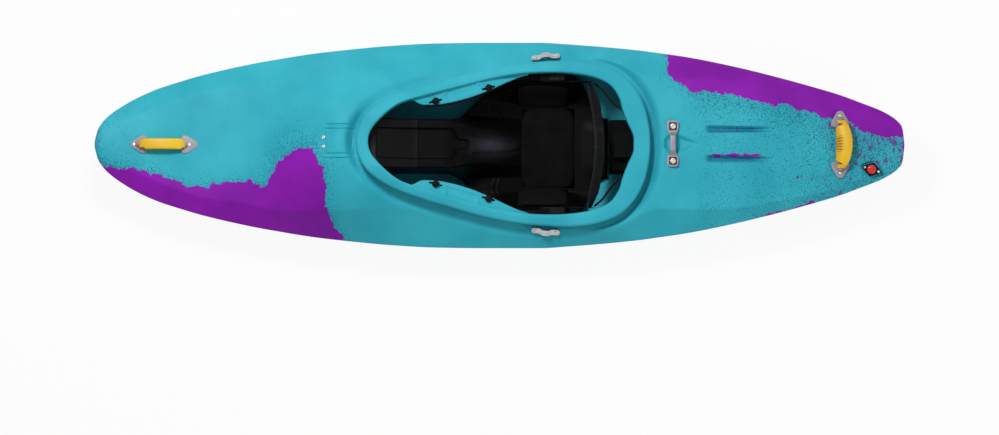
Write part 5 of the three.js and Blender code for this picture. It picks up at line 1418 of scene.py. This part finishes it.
def add_handle(name, at, span, lean, overlaps, tilt=0.0, end_half=0.011, rib_count=0, notch=0.0):
    strap = grip(f"{name}_strap", span, lean, tilt, end_half, rib_count, notch)
    strap.data.transform(at)
    finish_piece(shade(strap, 50), "yellow_rubber", name, f"{name}_grip")
    reach = span / 2 + CLEARANCE
    for (label, end), overlap in zip(ENDS, overlaps):
        corners = [(end * u * HANDLE_PLATE_LENGTH, v * HANDLE_PLATE_WIDTH) for u, v in PLATE_CORNER_SHARES]
        outline = rounded_outline(corners, HANDLE_PLATE_LENGTH * 0.3)
        plate = slab(f"{name}_mount_{label}", outline, plate_rows(-0.002, HANDLE_PLATE_THICKNESS, 0.0022))
        plate.data.transform(Matrix.Translation((end * (reach - overlap + HANDLE_PLATE_LENGTH / 2), 0, 0)))
        combine(plate, knuckle(end * reach, end * (reach + KNUCKLE_LENGTH)), "UNION")
        plate.data.transform(at)
        finish_piece(shade(plate), "grey_plastic", "root", f"{name}_plate_{label}")
        screw_x = end * (reach + KNUCKLE_LENGTH + SCREW.head + CLEARANCE * 2)
        lift = HANDLE_PLATE_THICKNESS + CLEARANCE
        add_fastener(f"{name}_screw_{label}", at, SCREW, lift, screw_x, head=0.85)


def add_handles():
    bow = deck_frame(-0.834 * HALF_LENGTH, 0)
    add_handle("bow_handle", bow, span=0.137, lean=0, overlaps=(0.0258, 0.0118), notch=0.3)
    stern = deck_frame(0.841 * HALF_LENGTH, 0) @ Matrix.Rotation(-math.pi / 2, 4, "Z")
    shape = dict(tilt=0.016, end_half=0.0135, rib_count=6, notch=0.9)
    add_handle("stern_handle", stern, span=0.143, lean=0.02, overlaps=(0.0215, 0.0215), **shape)


# Metal bars
BAR = SimpleNamespace(half=0.0515, foot=0.034, waist=0.015, thickness=0.007, rise=0.0155, setback=0.0668)
BROACH = SimpleNamespace(length=0.084, width=0.02, thickness=0.005, rise=0.013, bolt_span=0.062)
# Half size of the black squares round the security bolts, which stand in for the shade of the pockets that
# the bolt heads sit in
POCKET_SHADE_HALF = 0.0115
FOOT_EDGE = 0.0004
BAR_END_ROUND = 0.008


def bar_places(reach, foot_start, foot_steps, middle_steps):
    """Places along a bar on two feet, with a short step at the inner edge of each foot."""
    foot = np.linspace(reach, foot_start + FOOT_EDGE, foot_steps)
    return np.concatenate((-foot, np.linspace(-foot_start, foot_start, middle_steps), foot[::-1]))


def arch_levels(places, foot_start, rise, thickness, low):
    """Lower and upper levels of a bar that stands on two feet and bridges what is between them."""
    away = np.abs(places)
    lift = (rise - thickness) * (1 - smooth(foot_start - rise, foot_start, away))
    return np.where(away > foot_start, low, lift), lift + thickness


def add_security_bar():
    at = deck_frame(COCKPIT_CENTRE + HALF_COCKPIT + BAR.setback, 0)
    reach = BAR.half + BAR.foot / 2
    foot_start = reach - BAR.foot
    places = bar_places(reach, foot_start, 26, 50)
    lows, tops = arch_levels(places, foot_start + FOOT_EDGE / 2, BAR.rise, BAR.thickness, -0.002)
    halves = mix(BAR.waist / 2, BAR.foot / 2, smooth(0.019, 0.046, np.abs(places)))
    halves = halves - end_drop(reach - np.abs(places), BAR_END_ROUND)
    made = bar("security_loop", places, halves, lows, tops, 0.0022)
    # Black squares round the bolt heads: a dark stand-in for the shade in the pockets that the heads sit in
    pocket_shades = []
    level = BAR.thickness
    corners = rounded_outline(rectangle(-POCKET_SHADE_HALF, POCKET_SHADE_HALF, -POCKET_SHADE_HALF, POCKET_SHADE_HALF), 0.005)
    for side in (-1, 1):
        place = Matrix.Translation((side * BAR.half, 0, 0))
        combine(made, rod(BOLT.shank + CLEARANCE, -0.01, 0.02, place), "DIFFERENCE")
        pocket_shade = slab("pocket_shade", corners, [(0, level - 0.0002), (0, level + 0.0006), (0.0008, level + 0.0014)])
        hole = rod(BOLT.head + CLEARANCE, level - 0.002, level + 0.004, Matrix.Identity(4), 40)
        combine(pocket_shade, hole, "DIFFERENCE")
        pocket_shade.data.transform(place)
        pocket_shades.append(pocket_shade)
    turn = at @ Matrix.Rotation(math.pi / 2, 4, "Z")
    made.data.transform(turn)
    finish_piece(shade(made), "aluminium", "root", "security_bar", material=dull_metal)
    for (label, side), pocket_shade in zip(SIDES, pocket_shades):
        add_fastener(f"security_bolt_{label}", at, BOLT, BAR.thickness + CLEARANCE, 0, side * BAR.half)
        pocket_shade.name = f"security_washer_{label}"
        pocket_shade.data.transform(turn)
        finish_piece(shade(pocket_shade), "black_rubber", "root")


def add_broach_bars():
    reach = BROACH.length / 2
    foot_start = reach - (BROACH.length - BROACH.bolt_span)
    places = bar_places(reach, foot_start, 18, 36)
    lows, tops = arch_levels(places, foot_start + FOOT_EDGE / 2, BROACH.rise, BROACH.thickness, -0.003)
    halves = BROACH.width / 2 - end_drop(reach - np.abs(places), BAR_END_ROUND)
    for label, side in SIDES:
        at = bevel_frame(0.114 * HALF_LENGTH, side, 0.84)
        made = bar(f"broach_loop_{label}", places, halves, lows, tops, 0.0018)
        made.data.transform(at)
        finish_piece(shade(made), "aluminium", "root", f"broach_bar_{label}")
        for end, place in ENDS:
            x = place * BROACH.bolt_span / 2
            add_fastener(f"broach_screw_{label}_{end}", at, SCREW, BROACH.thickness + CLEARANCE, x)


# Drain
DRAIN_PLATE = SimpleNamespace(half_length=0.032, half_width=0.023, thickness=0.005, screw=0.021)
CAP_RADIUS = 0.014
CAP_EDGE = 0.0048
CAP_DOME = 0.0041
CAP_KNURL = SimpleNamespace(inset=0.0005, depth=0.0004, count=24)
COIN_SLOT = SimpleNamespace(half_length=0.009, half_width=0.0016, low=0.0062, high=0.012)
STEM_RADIUS = 0.008
STEM_LENGTH = 0.016
GASKET_THICKNESS = 0.002


def add_drain():
    origin = deck_frame(DRAIN_X, DRAIN_Y).translation
    at = Matrix.Translation(origin) @ Matrix.Rotation(DRAIN_TURN, 4, "Z")
    length, width = DRAIN_PLATE.half_length, DRAIN_PLATE.half_width
    outline = rounded_outline([(-length, 0), (0, -width), (length, 0), (0, width)], length * 0.42)
    plate = slab("drain_mount", outline, plate_rows(-0.003, DRAIN_PLATE.thickness, 0.002))
    hole = STEM_RADIUS + CLEARANCE
    combine(plate, rod(hole, -0.01, 0.01, Matrix.Identity(4), 40), "DIFFERENCE")
    plate.data.transform(at)
    finish_piece(shade(plate), "black_plastic", "root", "drain_plate")
    level = DRAIN_PLATE.thickness + CLEARANCE
    for label, side in (("front", 1), ("rear", -1)):
        add_fastener(f"drain_screw_{label}", at, SCREW, level, side * DRAIN_PLATE.screw, head=0.66)
    outer = CAP_RADIUS - CLEARANCE
    edge = 0.0006
    section = [(hole, 0), (outer - edge, 0), (outer, edge), (outer, GASKET_THICKNESS - edge)]
    section += [(outer - edge, GASKET_THICKNESS), (hole, GASKET_THICKNESS)]
    seal = turned("drain_ring", section, wrap=True)
    seal.data.transform(at @ Matrix.Translation((0, 0, level)))
    finish_piece(shade(seal), "black_rubber", "drain_seal", "drain_gasket")
    count = 144
    knurl = CAP_RADIUS - CAP_KNURL.inset + CAP_KNURL.depth * np.cos(ring_angles(count) * CAP_KNURL.count)
    stem, shoulder = STEM_RADIUS - CLEARANCE / 2, CAP_RADIUS - 0.0012
    profile = [(STEM_RADIUS * 0.8, -STEM_LENGTH), (stem, 0.001 - STEM_LENGTH), (stem, 0)]
    profile += [(CAP_RADIUS - 0.001, 0), (knurl, 0.0006), (knurl, 0.0042), (shoulder, CAP_EDGE)]
    for a in arc_angles(0, 82, 9)[1:]:
        profile.append((shoulder * math.cos(a), CAP_EDGE + CAP_DOME * math.sin(a)))
    plug = turned("drain_screw_plug", profile, count)
    length, width = COIN_SLOT.half_length, COIN_SLOT.half_width
    outline = rounded_outline(rectangle(-length, length, -width, width), 0.0015)
    combine(plug, slab("coin_slot", outline, [(0, COIN_SLOT.low), (0, COIN_SLOT.high)]), "DIFFERENCE")
    plug.data.transform(at @ Matrix.Translation((0, 0, level + GASKET_THICKNESS + CLEARANCE)))
    finish_piece(shade(plug), "red_plastic", "drain_cap", "drain_plug")


SIDE_BOLT_LEVEL = 0.118
SIDE_BOLT_REACH = 0.0455


def add_hull_fasteners():
    for label, side in SIDES:
        at = deck_frame(-0.4345 * HALF_LENGTH, side * 0.045 * HALF_BEAM)
        add_fastener(f"deck_screw_{label}", at, SCREW, CLEARANCE)
        for end, place in ENDS:
            at = wall_frame(-0.258 * HALF_LENGTH + place * SIDE_BOLT_REACH, side, SIDE_BOLT_LEVEL)
            add_fastener(f"side_bolt_{label}_{end}", at, BOLT, CLEARANCE)


# Seat and pillars
SEAT_FRONT = -0.2397
SEAT_REAR = 0.3104
# Black lip past the seat's rear edge: a dark stand-in for the shadow on the hull floor between the back band
# and the rear pillar
SEAT_SHADOW_LIP = 0.009
SEAT_FLOOR = 0.034
SEAT_HIP = 0.182
SEAT_HALF_HIP = 0.212
BEAM_HALF = 0.074
BEAM_LEVEL = 0.228
BEAM_RECESS = 0.012
RECESS_HALF = 0.0465
# Place along the seat, half width as a share of the hip width, and its levels as shares of the heights above
SEAT_PLAN_SHARES = [
    (0, 0.349, 1, 0),
    (0.15, 0.349, 0.98, 0),
    (0.22, 0.42, 0.88, 0.04),
    (0.32, 0.66, 0.62, 0.12),
    (0.43, 0.87, 0.34, 0.5),
    (0.53, 0.97, 0.14, 0.92),
    (0.65, 1, 0.03, 1),
    (0.8, 1, 0, 1),
    (0.87, 0.93, 0, 0.25),
    (0.95, 0.5, 0.03, 0.1),
    (1, 0.42, 0.03, 0.1),
]


def seat_level(x, y):
    place = (x - SEAT_FRONT) / (SEAT_REAR - SEAT_FRONT)
    away = np.abs(y)
    floor = SEAT_FLOOR * (2 - smooth(0.35, 0.65, place))
    beam = follow(SEAT_PLAN_SHARES, place, 2) * (BEAM_LEVEL - floor)
    hip = follow(SEAT_PLAN_SHARES, place, 3) * (SEAT_HIP - floor)
    narrow = smooth(0.14, 0.36, place)
    beam_share = 1 - smooth(BEAM_HALF * mix(0.92, 0.64, narrow), BEAM_HALF * mix(1.4, 1.24, narrow), away)
    hip_share = smooth(SEAT_HALF_HIP * 0.6, SEAT_HALF_HIP * 0.94, away)
    return floor + beam * beam_share + hip * hip_share


def seat_half(x):
    place = (x - SEAT_FRONT) / (SEAT_REAR - SEAT_FRONT)
    return follow(SEAT_PLAN_SHARES, place, 1) * SEAT_HALF_HIP


# Marks moulded into the seat, in metres; the neck's share, the tongue's edge and the ribs' flare are shares
NECK = SimpleNamespace(share=0.34, start=(-0.142, -0.118), end=(-0.096, -0.088), inner=0.005, outer=0.001)
TONGUE = SimpleNamespace(
    half=0.034, rear=0.062, length=0.16, front=(-0.1, -0.075), edge=(0.55, 1.05), least=0.001
)
SEAT_RIBS = SimpleNamespace(
    waist=0.012, flare=0.3, middle=0.105, width=0.0035, start=(0.02, 0.05), end=(0.17, 0.2)
)
SCOOP = SimpleNamespace(
    x=0.045, y=0.118, radii=(0.05, 0.064), width=0.003, rear=(0.05, 0.09), side=(0.12, 0.16)
)
SEAT_STEP = SimpleNamespace(y=0.126, width=0.004, start=(0.04, 0.06), end=(0.16, 0.18))
MARK_HEIGHTS = SimpleNamespace(tongue=0.009, ribs=0.0028, scoop=0.0025, step=0.003)


def seat_marks(x, y):
    """Moulded ribs, scoops and the raised tongue of the seat."""
    away = np.abs(y)
    neck = RECESS_HALF * mix(1, NECK.share, smooth(*NECK.start, x))
    recess = (1 - smooth(neck - NECK.inner, neck + NECK.outer, away)) * (1 - smooth(*NECK.end, x))
    tongue_half = TONGUE.half * np.sqrt(np.clip((TONGUE.rear - x) / TONGUE.length, 0, 1))
    out = away / np.maximum(tongue_half, TONGUE.least)
    tongue = (1 - smooth(*TONGUE.edge, out)) * smooth(*TONGUE.front, x)
    waist = np.hypot(SEAT_RIBS.waist, SEAT_RIBS.flare * (x - SEAT_RIBS.middle))
    pair = ridge(away - waist, SEAT_RIBS.width) * window(x, SEAT_RIBS.start, SEAT_RIBS.end)
    from_scoop = np.hypot(x - SCOOP.x, away - SCOOP.y)
    scoop = sum(ridge(from_scoop - radius, SCOOP.width) for radius in SCOOP.radii)
    scoop = scoop * (1 - smooth(*SCOOP.rear, x)) * (1 - smooth(*SCOOP.side, away))
    step = ridge(away - SEAT_STEP.y, SEAT_STEP.width) * window(x, SEAT_STEP.start, SEAT_STEP.end)
    level = MARK_HEIGHTS.tongue * tongue - BEAM_RECESS * recess + MARK_HEIGHTS.ribs * pair
    return level + MARK_HEIGHTS.scoop * scoop + MARK_HEIGHTS.step * step


def add_seat():
    # The seat runs on by its black lip, which stands in for shadow on the hull floor behind it
    places = np.linspace(SEAT_FRONT, SEAT_REAR + SEAT_SHADOW_LIP, 234)

    def top(x, y):
        edge = np.minimum(seat_half(x) - np.abs(y), SEAT_REAR + SEAT_SHADOW_LIP - x + 0.0005)
        return seat_level(x, y) + seat_marks(x, y) - end_drop(np.maximum(edge, 0), 0.006)

    seat = layer("seat_moulding", places, seat_half, lambda x, y: 0 * x + BELOW_HULL, top, 190)
    combine(seat, inside_space(HULL_WALL + CLEARANCE), "INTERSECT")
    x, y, _ = vectors(seat.data.vertices, "co").T
    # Painted highlight: a lighter patch on the seat's tongue, kept for the material
    store(seat.data, "painted_highlight", ridge(x + 0.02, 0.055) * ridge(y, 0.024))
    finish_piece(shade(seat, 50), "black_plastic", "root", "seat_pan", material=seat_material())


def pad_on_seat(name, node, start, end, middle, half, thickness, gap, marks=0.0):
    """Foam pad that follows the seat, with rounded sides and soft corners."""
    places = start + (end - start) * (0.5 + 0.5 * np.sin(np.linspace(-math.pi / 2, math.pi / 2, 70)))

    def fullness(x, y):
        u = np.abs(2 * (x - start) / (end - start) - 1)
        v = np.abs(y - middle) / half
        return np.sqrt(np.clip(1 - (u**5 + v**5), 0.0, 1))

    def top(x, y):
        crowned = thickness * fullness(x, y)
        return seat_level(x, y) + gap + crowned + marks * seat_marks(x, y)

    made = layer(name, places, lambda x: half + 0 * x, lambda x, y: seat_level(x, y) + gap, top, 70, middle)
    finish_piece(shade(made, 60), "black_foam", "root", node)


def add_pads():
    seat = dict(start=0.066, end=0.222, half=0.1187, thickness=0.0105, gap=0.0006, marks=0.8)
    pad_on_seat("seat_cushion", "seat_pad", middle=0.0, **seat)
    hip = dict(start=0.054, end=0.2016, half=0.0275, thickness=0.0225, gap=0.0014)
    for label, side in SIDES:
        pad_on_seat(f"hip_cushion_{label}", f"hip_pad_{label}", middle=side * 0.1505, **hip)


def box(name, low, high):
    section = rectangle(low[1], high[1], low[2], high[2])
    return loft(name, [[(x, y, z) for y, z in section] for x in (low[0], high[0])])


RIM_FRONT = COCKPIT_CENTRE - 0.918 * HALF_COCKPIT
PILLAR_FRONT = -0.516
PILLAR_REAR = -0.24
FOAM_HALF = 0.037
BELOW_HULL = -0.01
BOW_PILLAR_ENDS = (-1.116, -0.84)
REAR_PILLAR = SimpleNamespace(front=0.3384, step=0.414, step_end=0.48, rear=0.864)
COLLAR = SimpleNamespace(front=0.324, rear=0.388, half=0.076, top=0.15)


def add_front_pillar():
    ahead = np.linspace(PILLAR_FRONT, RIM_FRONT - 0.001, 10)
    places = np.concatenate((ahead, np.linspace(RIM_FRONT, PILLAR_REAR, 90)))
    start = rim_top(RIM_FRONT) - RIM_RISE - HULL_WALL * 2

    def top(x, y):
        away = np.abs(y)
        level = mix(start, BEAM_LEVEL, smooth(RIM_FRONT - RISER_THICKNESS, PILLAR_REAR, x))
        recess = (1 - smooth(RECESS_HALF - 0.005, RECESS_HALF + 0.001, away)) * smooth(-0.372, -0.362, x)
        level = level - BEAM_RECESS * recess - end_drop(BEAM_HALF - away, 0.007)
        level = level - 0.0018 * ridge(x - PILLAR_REAR, 0.0012)
        return np.where(x < RIM_FRONT, HULL_HEIGHT, level)

    half, low = lambda x: BEAM_HALF + 0 * x, lambda x, y: 0 * x + BELOW_HULL
    pillar = layer("beam_front", places, half, low, top, 120)
    combine(pillar, inside_space(HULL_WALL + CLEARANCE), "INTERSECT")
    finish_piece(shade(pillar, 50), "black_plastic", "root", "front_pillar")


def add_foam_pillars():
    front, rear = BOW_PILLAR_ENDS
    bow = box("bow_block", (front, -FOAM_HALF, BELOW_HULL), (rear, FOAM_HALF, HULL_HEIGHT))
    combine(bow, inside_space(HULL_WALL + CLEARANCE), "INTERSECT")
    finish_piece(shade(bow), "black_foam", "root", "bow_pillar")
    shape = REAR_PILLAR
    step = float(rim_top(shape.step)) - RIM_RISE - HULL_WALL - 0.01
    edge = plate_rows(BELOW_HULL, step, 0.005, undercut=0.0)[2:]
    outline = rounded_outline(rectangle(shape.front, shape.step_end, -FOAM_HALF, FOAM_HALF), 0.006)
    low = slab("rear_block", outline, [(0, BELOW_HULL)] + edge)
    outline = rounded_outline(rectangle(COLLAR.front, COLLAR.rear, -COLLAR.half, COLLAR.half), 0.012)
    rows = [(0, BELOW_HULL), (0, COLLAR.top - 0.005), (0.0015, COLLAR.top - 0.0015), (0.005, COLLAR.top)]
    combine(low, slab("collar", outline, rows), "UNION")
    rear = box("rear", (shape.step, -FOAM_HALF, BELOW_HULL), (shape.rear, FOAM_HALF, HULL_HEIGHT))
    combine(low, rear, "UNION")
    combine(low, inside_space(HULL_WALL + CLEARANCE), "INTERSECT")
    finish_piece(shade(low), "black_foam", "root", "rear_pillar")


# Back support
BAND_X = 0.2964
BAND_HALF = 0.186
BAND_BOW = 0.03
BAND_LEVEL = 0.176
BAND_HEIGHT = 0.122
BAND_THICKNESS = 0.028
BAND_TAB = 0.034


# Shares of the band's half width, height and thickness, and the powers that round it
BAND_SHARES = SimpleNamespace(
    taper=(0.72, 1), end_height=0.42, tab=(0.148, 0.296), tip=0.96, tip_length=0.041,
    end_thickness=0.5, above=0.52, below=0.48, end_level=0.9,
)
BAND_POWERS = SimpleNamespace(upright=0.75, across=0.6)
BAND_SEAM = SimpleNamespace(level=0.78, height=0.06, place=0.52, width=0.012, depth=0.24)
BAND_FOLDS = SimpleNamespace(depth=0.0008, along=61, sway=2.3, upright=90)


def add_back_band():
    y, angle = np.meshgrid(np.linspace(-1, 1, 150), ring_angles(72), indexing="ij")
    away = np.abs(y)
    shares, powers, seam = BAND_SHARES, BAND_POWERS, BAND_SEAM
    end = 1 - smooth(*shares.taper, away)
    height = BAND_HEIGHT * mix(shares.end_height, 1, end)
    tab = BAND_TAB * (1 - smooth(*shares.tab, away))
    tip = np.sqrt(1 - np.clip((away - shares.tip) / shares.tip_length, 0, 1) ** 2)
    thick = BAND_THICKNESS / 2 * mix(shares.end_thickness, 1, end) * tip
    top, low = height * shares.above + tab, -height * shares.below
    c, s = np.cos(angle), np.sin(angle)
    upright = np.sign(s) * np.abs(s) ** powers.upright
    level = mix(low, top, upright * 0.5 + 0.5)
    across = np.sign(c) * np.abs(c) ** powers.across * thick
    edges = ridge(np.abs(upright) - seam.level, seam.height)
    edges = edges + ridge(away - seam.place, seam.width) * (np.abs(upright) < seam.level)
    across = across * (1 - seam.depth * edges)
    phase = y * BAND_FOLDS.along + BAND_FOLDS.sway * np.sin(level * BAND_FOLDS.upright)
    folds = BAND_FOLDS.depth * np.sin(phase) * np.abs(c)
    x = BAND_X - BAND_BOW * y**2 + across + folds
    z = BAND_LEVEL + level * mix(shares.end_level, 1, tip)
    band = loft("back_cushion", np.dstack((x, y * BAND_HALF, z)))
    finish_piece(shade(band, 60), "black_fabric", "back_support", "back_band")


RATCHET = SimpleNamespace(x=0.162, length=0.066, width=0.026, height=0.014, base=0.1826, y=0.1987)
LEVER = SimpleNamespace(front=0.119, rear=0.195, half=0.0091, level=0.1969, pin=0.004)
STRAP = SimpleNamespace(x=0.1973, y=0.1878, half=0.0098, low=-0.0014, top=0.0003, pitch=0.0045, depth=0.0011)


def toothed(places, pitch, depth):
    """Saw teeth along a strap."""
    return depth * (places / pitch % 1)


def add_ratchets():
    half = RATCHET.width / 2 - 0.001
    for label, side in SIDES:
        x = np.linspace(-RATCHET.length / 2, RATCHET.length / 2, 60)
        inward = end_drop(RATCHET.length / 2 - np.abs(x), 0.004)
        notch = 0.004 * window(x, (0.006, 0.012), (0.024, 0.028))
        tops = RATCHET.height - notch - inward * 0.4
        base = bar(f"ratchet_body_{label}", x, half - inward, 0 * x, tops, 0.002)
        base.data.transform(Matrix.Translation((RATCHET.x, side * RATCHET.y, RATCHET.base)))
        finish_piece(shade(base), "black_plastic", "root", f"ratchet_base_{label}")
        x = np.linspace(LEVER.front, LEVER.rear, 90)
        along = (x - LEVER.front) / (LEVER.rear - LEVER.front)
        ribs = 0.0008 * (np.sin(x * 2400) > 0) * (along < 0.4)
        top = mix(0.0009, 0.008, smooth(0.0, 1.0, along)) + 0.0012 + ribs
        past_pin = np.maximum(0, x - LEVER.rear + LEVER.pin)
        pin_end = np.sqrt(np.maximum(LEVER.pin**2 - past_pin**2, 0.0005**2))
        halves = LEVER.half - end_drop(np.minimum(x - LEVER.front, LEVER.rear - x) + 0.0002, 0.003)
        tops = np.minimum(top, LEVER.pin + pin_end)
        lever = bar(f"ratchet_handle_{label}", x, halves, LEVER.pin - pin_end, tops, 0.0004)
        lever.data.transform(Matrix.Translation((0, side * RATCHET.y, LEVER.level)))
        finish_piece(shade(lever), "black_plastic", f"ratchet_{label}", f"ratchet_lever_{label}")


def add_straps():
    for label, side in SIDES:
        start = np.array((STRAP.x, side * STRAP.y, RATCHET.base + RATCHET.height / 2))
        end = np.array((BAND_X - BAND_BOW + 0.01, side * (BAND_HALF + 0.0018), BAND_LEVEL))
        length = np.linalg.norm(end - start)
        x = np.linspace(0, length, 260)
        lift = toothed(x, STRAP.pitch, STRAP.depth)
        lift = lift * window(x, (0.004, 0.008), (length - 0.02, length - 0.016))
        halves = STRAP.half - end_drop(np.minimum(x, length - x) + 0.0001, 0.004)
        strap = bar(f"toothed_strap_{label}", x, halves, STRAP.low + 0 * x, STRAP.top + lift, 0.0004)
        along = Vector((end - start) / length)
        across = Vector((0, 0, 1)).cross(along).normalized() * side
        strap.data.transform(frame_matrix(along, across.cross(along) * -1, across, Vector(start)))
        finish_piece(shade(strap), "black_plastic", "root", f"ladder_strap_{label}")


CORD_DIAMETER = 0.006
CORD_ROUTE_SHARES = [(0, 0, 0), (0.3, 0.25, 0.1), (0.65, 0.7, 0.55), (1, 1, 1)]
CORD_RIM_ROW = 13


def add_cords():
    rear = COCKPIT_CENTRE + RIM_OUTLINE_SHARES[CORD_RIM_ROW][0] * HALF_COCKPIT
    start = np.array((BAND_X - BAND_BOW + BAND_THICKNESS / 2, BAND_HALF - 0.003, BAND_LEVEL))
    end = np.array((
        rear - CORD_DIAMETER / 2 - CLEARANCE,
        RIM_OUTLINE_SHARES[CORD_RIM_ROW][1] * HALF_COCKPIT_WIDTH,
        float(rim_top(rear)) - RIM_RISE / 2,
    ))
    for label, side in SIDES:
        route = [mix(start, end, np.array(share)) * (1, side, 1) for share in CORD_ROUTE_SHARES]
        path = centripetal(route, 12)
        cord = tube(f"elastic_cord_{label}", path, CORD_DIAMETER / 2)
        finish_piece(shade(cord, 60), "black_cord", "root", f"band_cord_{label}")


# Thigh braces
BRACE_THICKNESS = 0.007
BRACE_OVERHANG = 0.005
KNOB_RADIUS = 0.011
KNOB_HEIGHT = 0.011
KNOB_EDGE = 0.0062
KNOB_DOME = 0.0046
KNOB_LOBES = 6


def add_braces():
    x = np.linspace(stud_x - BRACE_TRAVEL, stud_end_x + BRACE_TRAVEL * 0.7, 120)
    inner = hook_inner(x) - BRACE_OVERHANG
    outer = np.maximum(rim_inner(x) - RISER_THICKNESS - BRACE_TRAVEL * 0.35, inner + BRACE_OVERHANG * 4)
    ends = end_drop(np.minimum(x - x[0], x[-1] - x) + 0.0002, 0.012)
    inner, outer = inner + ends, outer - ends
    top = hook_top(x) - HOOK_THICKNESS - CLEARANCE * 2
    half = BRACE_THICKNESS / 2
    for label, side in SIDES:
        ring = [(outer, top - BRACE_THICKNESS), (outer, top)]
        for a in arc_angles(90, -90, 13):
            ring.append((inner + half * (1 - math.cos(a)), top - half + half * math.sin(a)))
        rings = np.array([np.column_stack((x, side * y, z)) for y, z in ring]).transpose(1, 0, 2)
        brace = loft(f"thigh_plate_{label}", rings)
        for distance in (0, STUD_SPAN):
            stud = rod(STUD_RADIUS, -HOOK_THICKNESS - half, KNOB_HEIGHT * 0.6, hook_frame(side, distance))
            combine(brace, stud, "UNION")
        finish_piece(shade(brace), "black_plastic", f"brace_{label}", f"thigh_brace_{label}")
        for (end, _), distance in zip(ENDS, (0, STUD_SPAN)):
            add_knob(label, end, hook_frame(side, distance))


def add_knob(label, end, at):
    """Knob with lobes round it and a domed top, on the stud that it turns on."""
    count = 96
    lobes = KNOB_RADIUS - 0.0012 * (0.5 + 0.5 * np.cos(ring_angles(count) * KNOB_LOBES)) ** 3
    profile = [(KNOB_RADIUS * 0.82, 0), (lobes * 0.94, 0.0008), (lobes, 0.002), (lobes, KNOB_EDGE)]
    for a in arc_angles(0, 88, 9)[1:]:
        profile.append((lobes * (0.25 + 0.75 * math.cos(a)), KNOB_EDGE + KNOB_DOME * math.sin(a)))
    knob = turned(f"brace_knob_{label}_{end}", profile, count)
    bore = rod(STUD_RADIUS + 0.0001, -0.01, KNOB_HEIGHT * 0.6 + 0.0006, Matrix.Identity(4))
    combine(knob, bore, "DIFFERENCE")
    knob.data.transform(at @ Matrix.Translation((0, 0, CLEARANCE)))
    finish_piece(shade(knob), "black_plastic", f"knob_{label}_{end}", f"thigh_knob_{label}_{end}")


# Footrest
FOOT_PAD_ROUND = 0.011
FOOT_PAD_SHARES = [(-0.72, -1), (0.72, -1), (1, 0), (0.92, 1), (-0.92, 1), (-1, 0)]


def add_foot_pad():
    low, high = (np.array(corner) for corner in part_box("footrest_pad"))
    half_width, half_height = (high[1] - low[1]) / 2, (high[2] - low[2]) / 2
    outline = rounded_outline([(u * half_width, v * half_height) for u, v in FOOT_PAD_SHARES], 0.02)
    depth = high[0] - low[0]
    rows = [(0.002, 0), (0, 0.002)] + rounded_rows(depth, FOOT_PAD_ROUND, 8)
    pad = slab("foot_cushion", outline, rows + [(0.02, depth)])
    turn = Matrix(((0, 0, 1, 0), (1, 0, 0, 0), (0, 1, 0, 0), (0, 0, 0, 1)))
    pad.data.transform(Matrix.Translation((low[0], 0, (low[2] + high[2]) / 2)) @ turn)
    finish_piece(shade(pad, 50), "black_foam", "footrest", "footrest_pad")


def dress_nodes():
    """Gives the CAD pieces that stay their finish and rounded edges."""
    slots = {part["node"]: part["material_slot"] for part in frame["record"]["subparts"]}
    pairs = [f"footrest_{part}_{label}" for part in ("arm", "bracket") for label, _ in SIDES]
    for node in ["footrest_plate"] + pairs:
        made = bpy.data.objects[node] if node in bpy.data.objects else frame["nodes"][node]
        made.data.materials.clear()
        made.data.materials.append(materials[slots[node]])
        bevel = made.modifiers.new("round", "BEVEL")
        bevel.width = 0.0012
        bevel.segments = 2
        bevel.limit_method = "ANGLE"
        bevel.angle_limit = math.radians(40)


materials = {
    "hull_plastic": hull_material(),
    "yellow_rubber": grip_material(),
    "grey_plastic": moulded("grey_plastic", colour(148, 142, 154), colour(168, 162, 174), 0.45),
    "black_plastic": moulded("black_plastic", colour(8, 8, 9), colour(14, 14, 15), 0.42, gloss=0.08),
    "red_plastic": moulded("red_plastic", colour(200, 28, 34), colour(216, 40, 44), 0.3),
    "black_rubber": moulded("black_rubber", colour(18, 18, 18), colour(28, 28, 28), 0.7),
    "stainless_steel": metal("stainless_steel", colour(176, 174, 168), colour(205, 203, 198), 0.26),
    "aluminium": metal("aluminium", colour(172, 168, 172), colour(198, 196, 198), 0.34),
    "black_foam": foam("black_foam", colour(9, 9, 10), colour(17, 17, 18)),
    "black_cord": woven("black_cord", colour(12, 12, 13), colour(24, 24, 26)),
    "black_fabric": woven("black_fabric", colour(9, 9, 11), colour(18, 18, 20)),
}

dull_metal = metal("dull_aluminium", colour(120, 114, 124), colour(146, 140, 148), 0.42)

add_studio()
add_cords()
add_hull()
add_handles()
add_security_bar()
add_broach_bars()
add_drain()
add_hull_fasteners()
add_front_pillar()
add_seat()
add_pads()
add_foam_pillars()
add_back_band()
add_ratchets()
add_straps()
add_braces()
add_foot_pad()
dress_nodes()
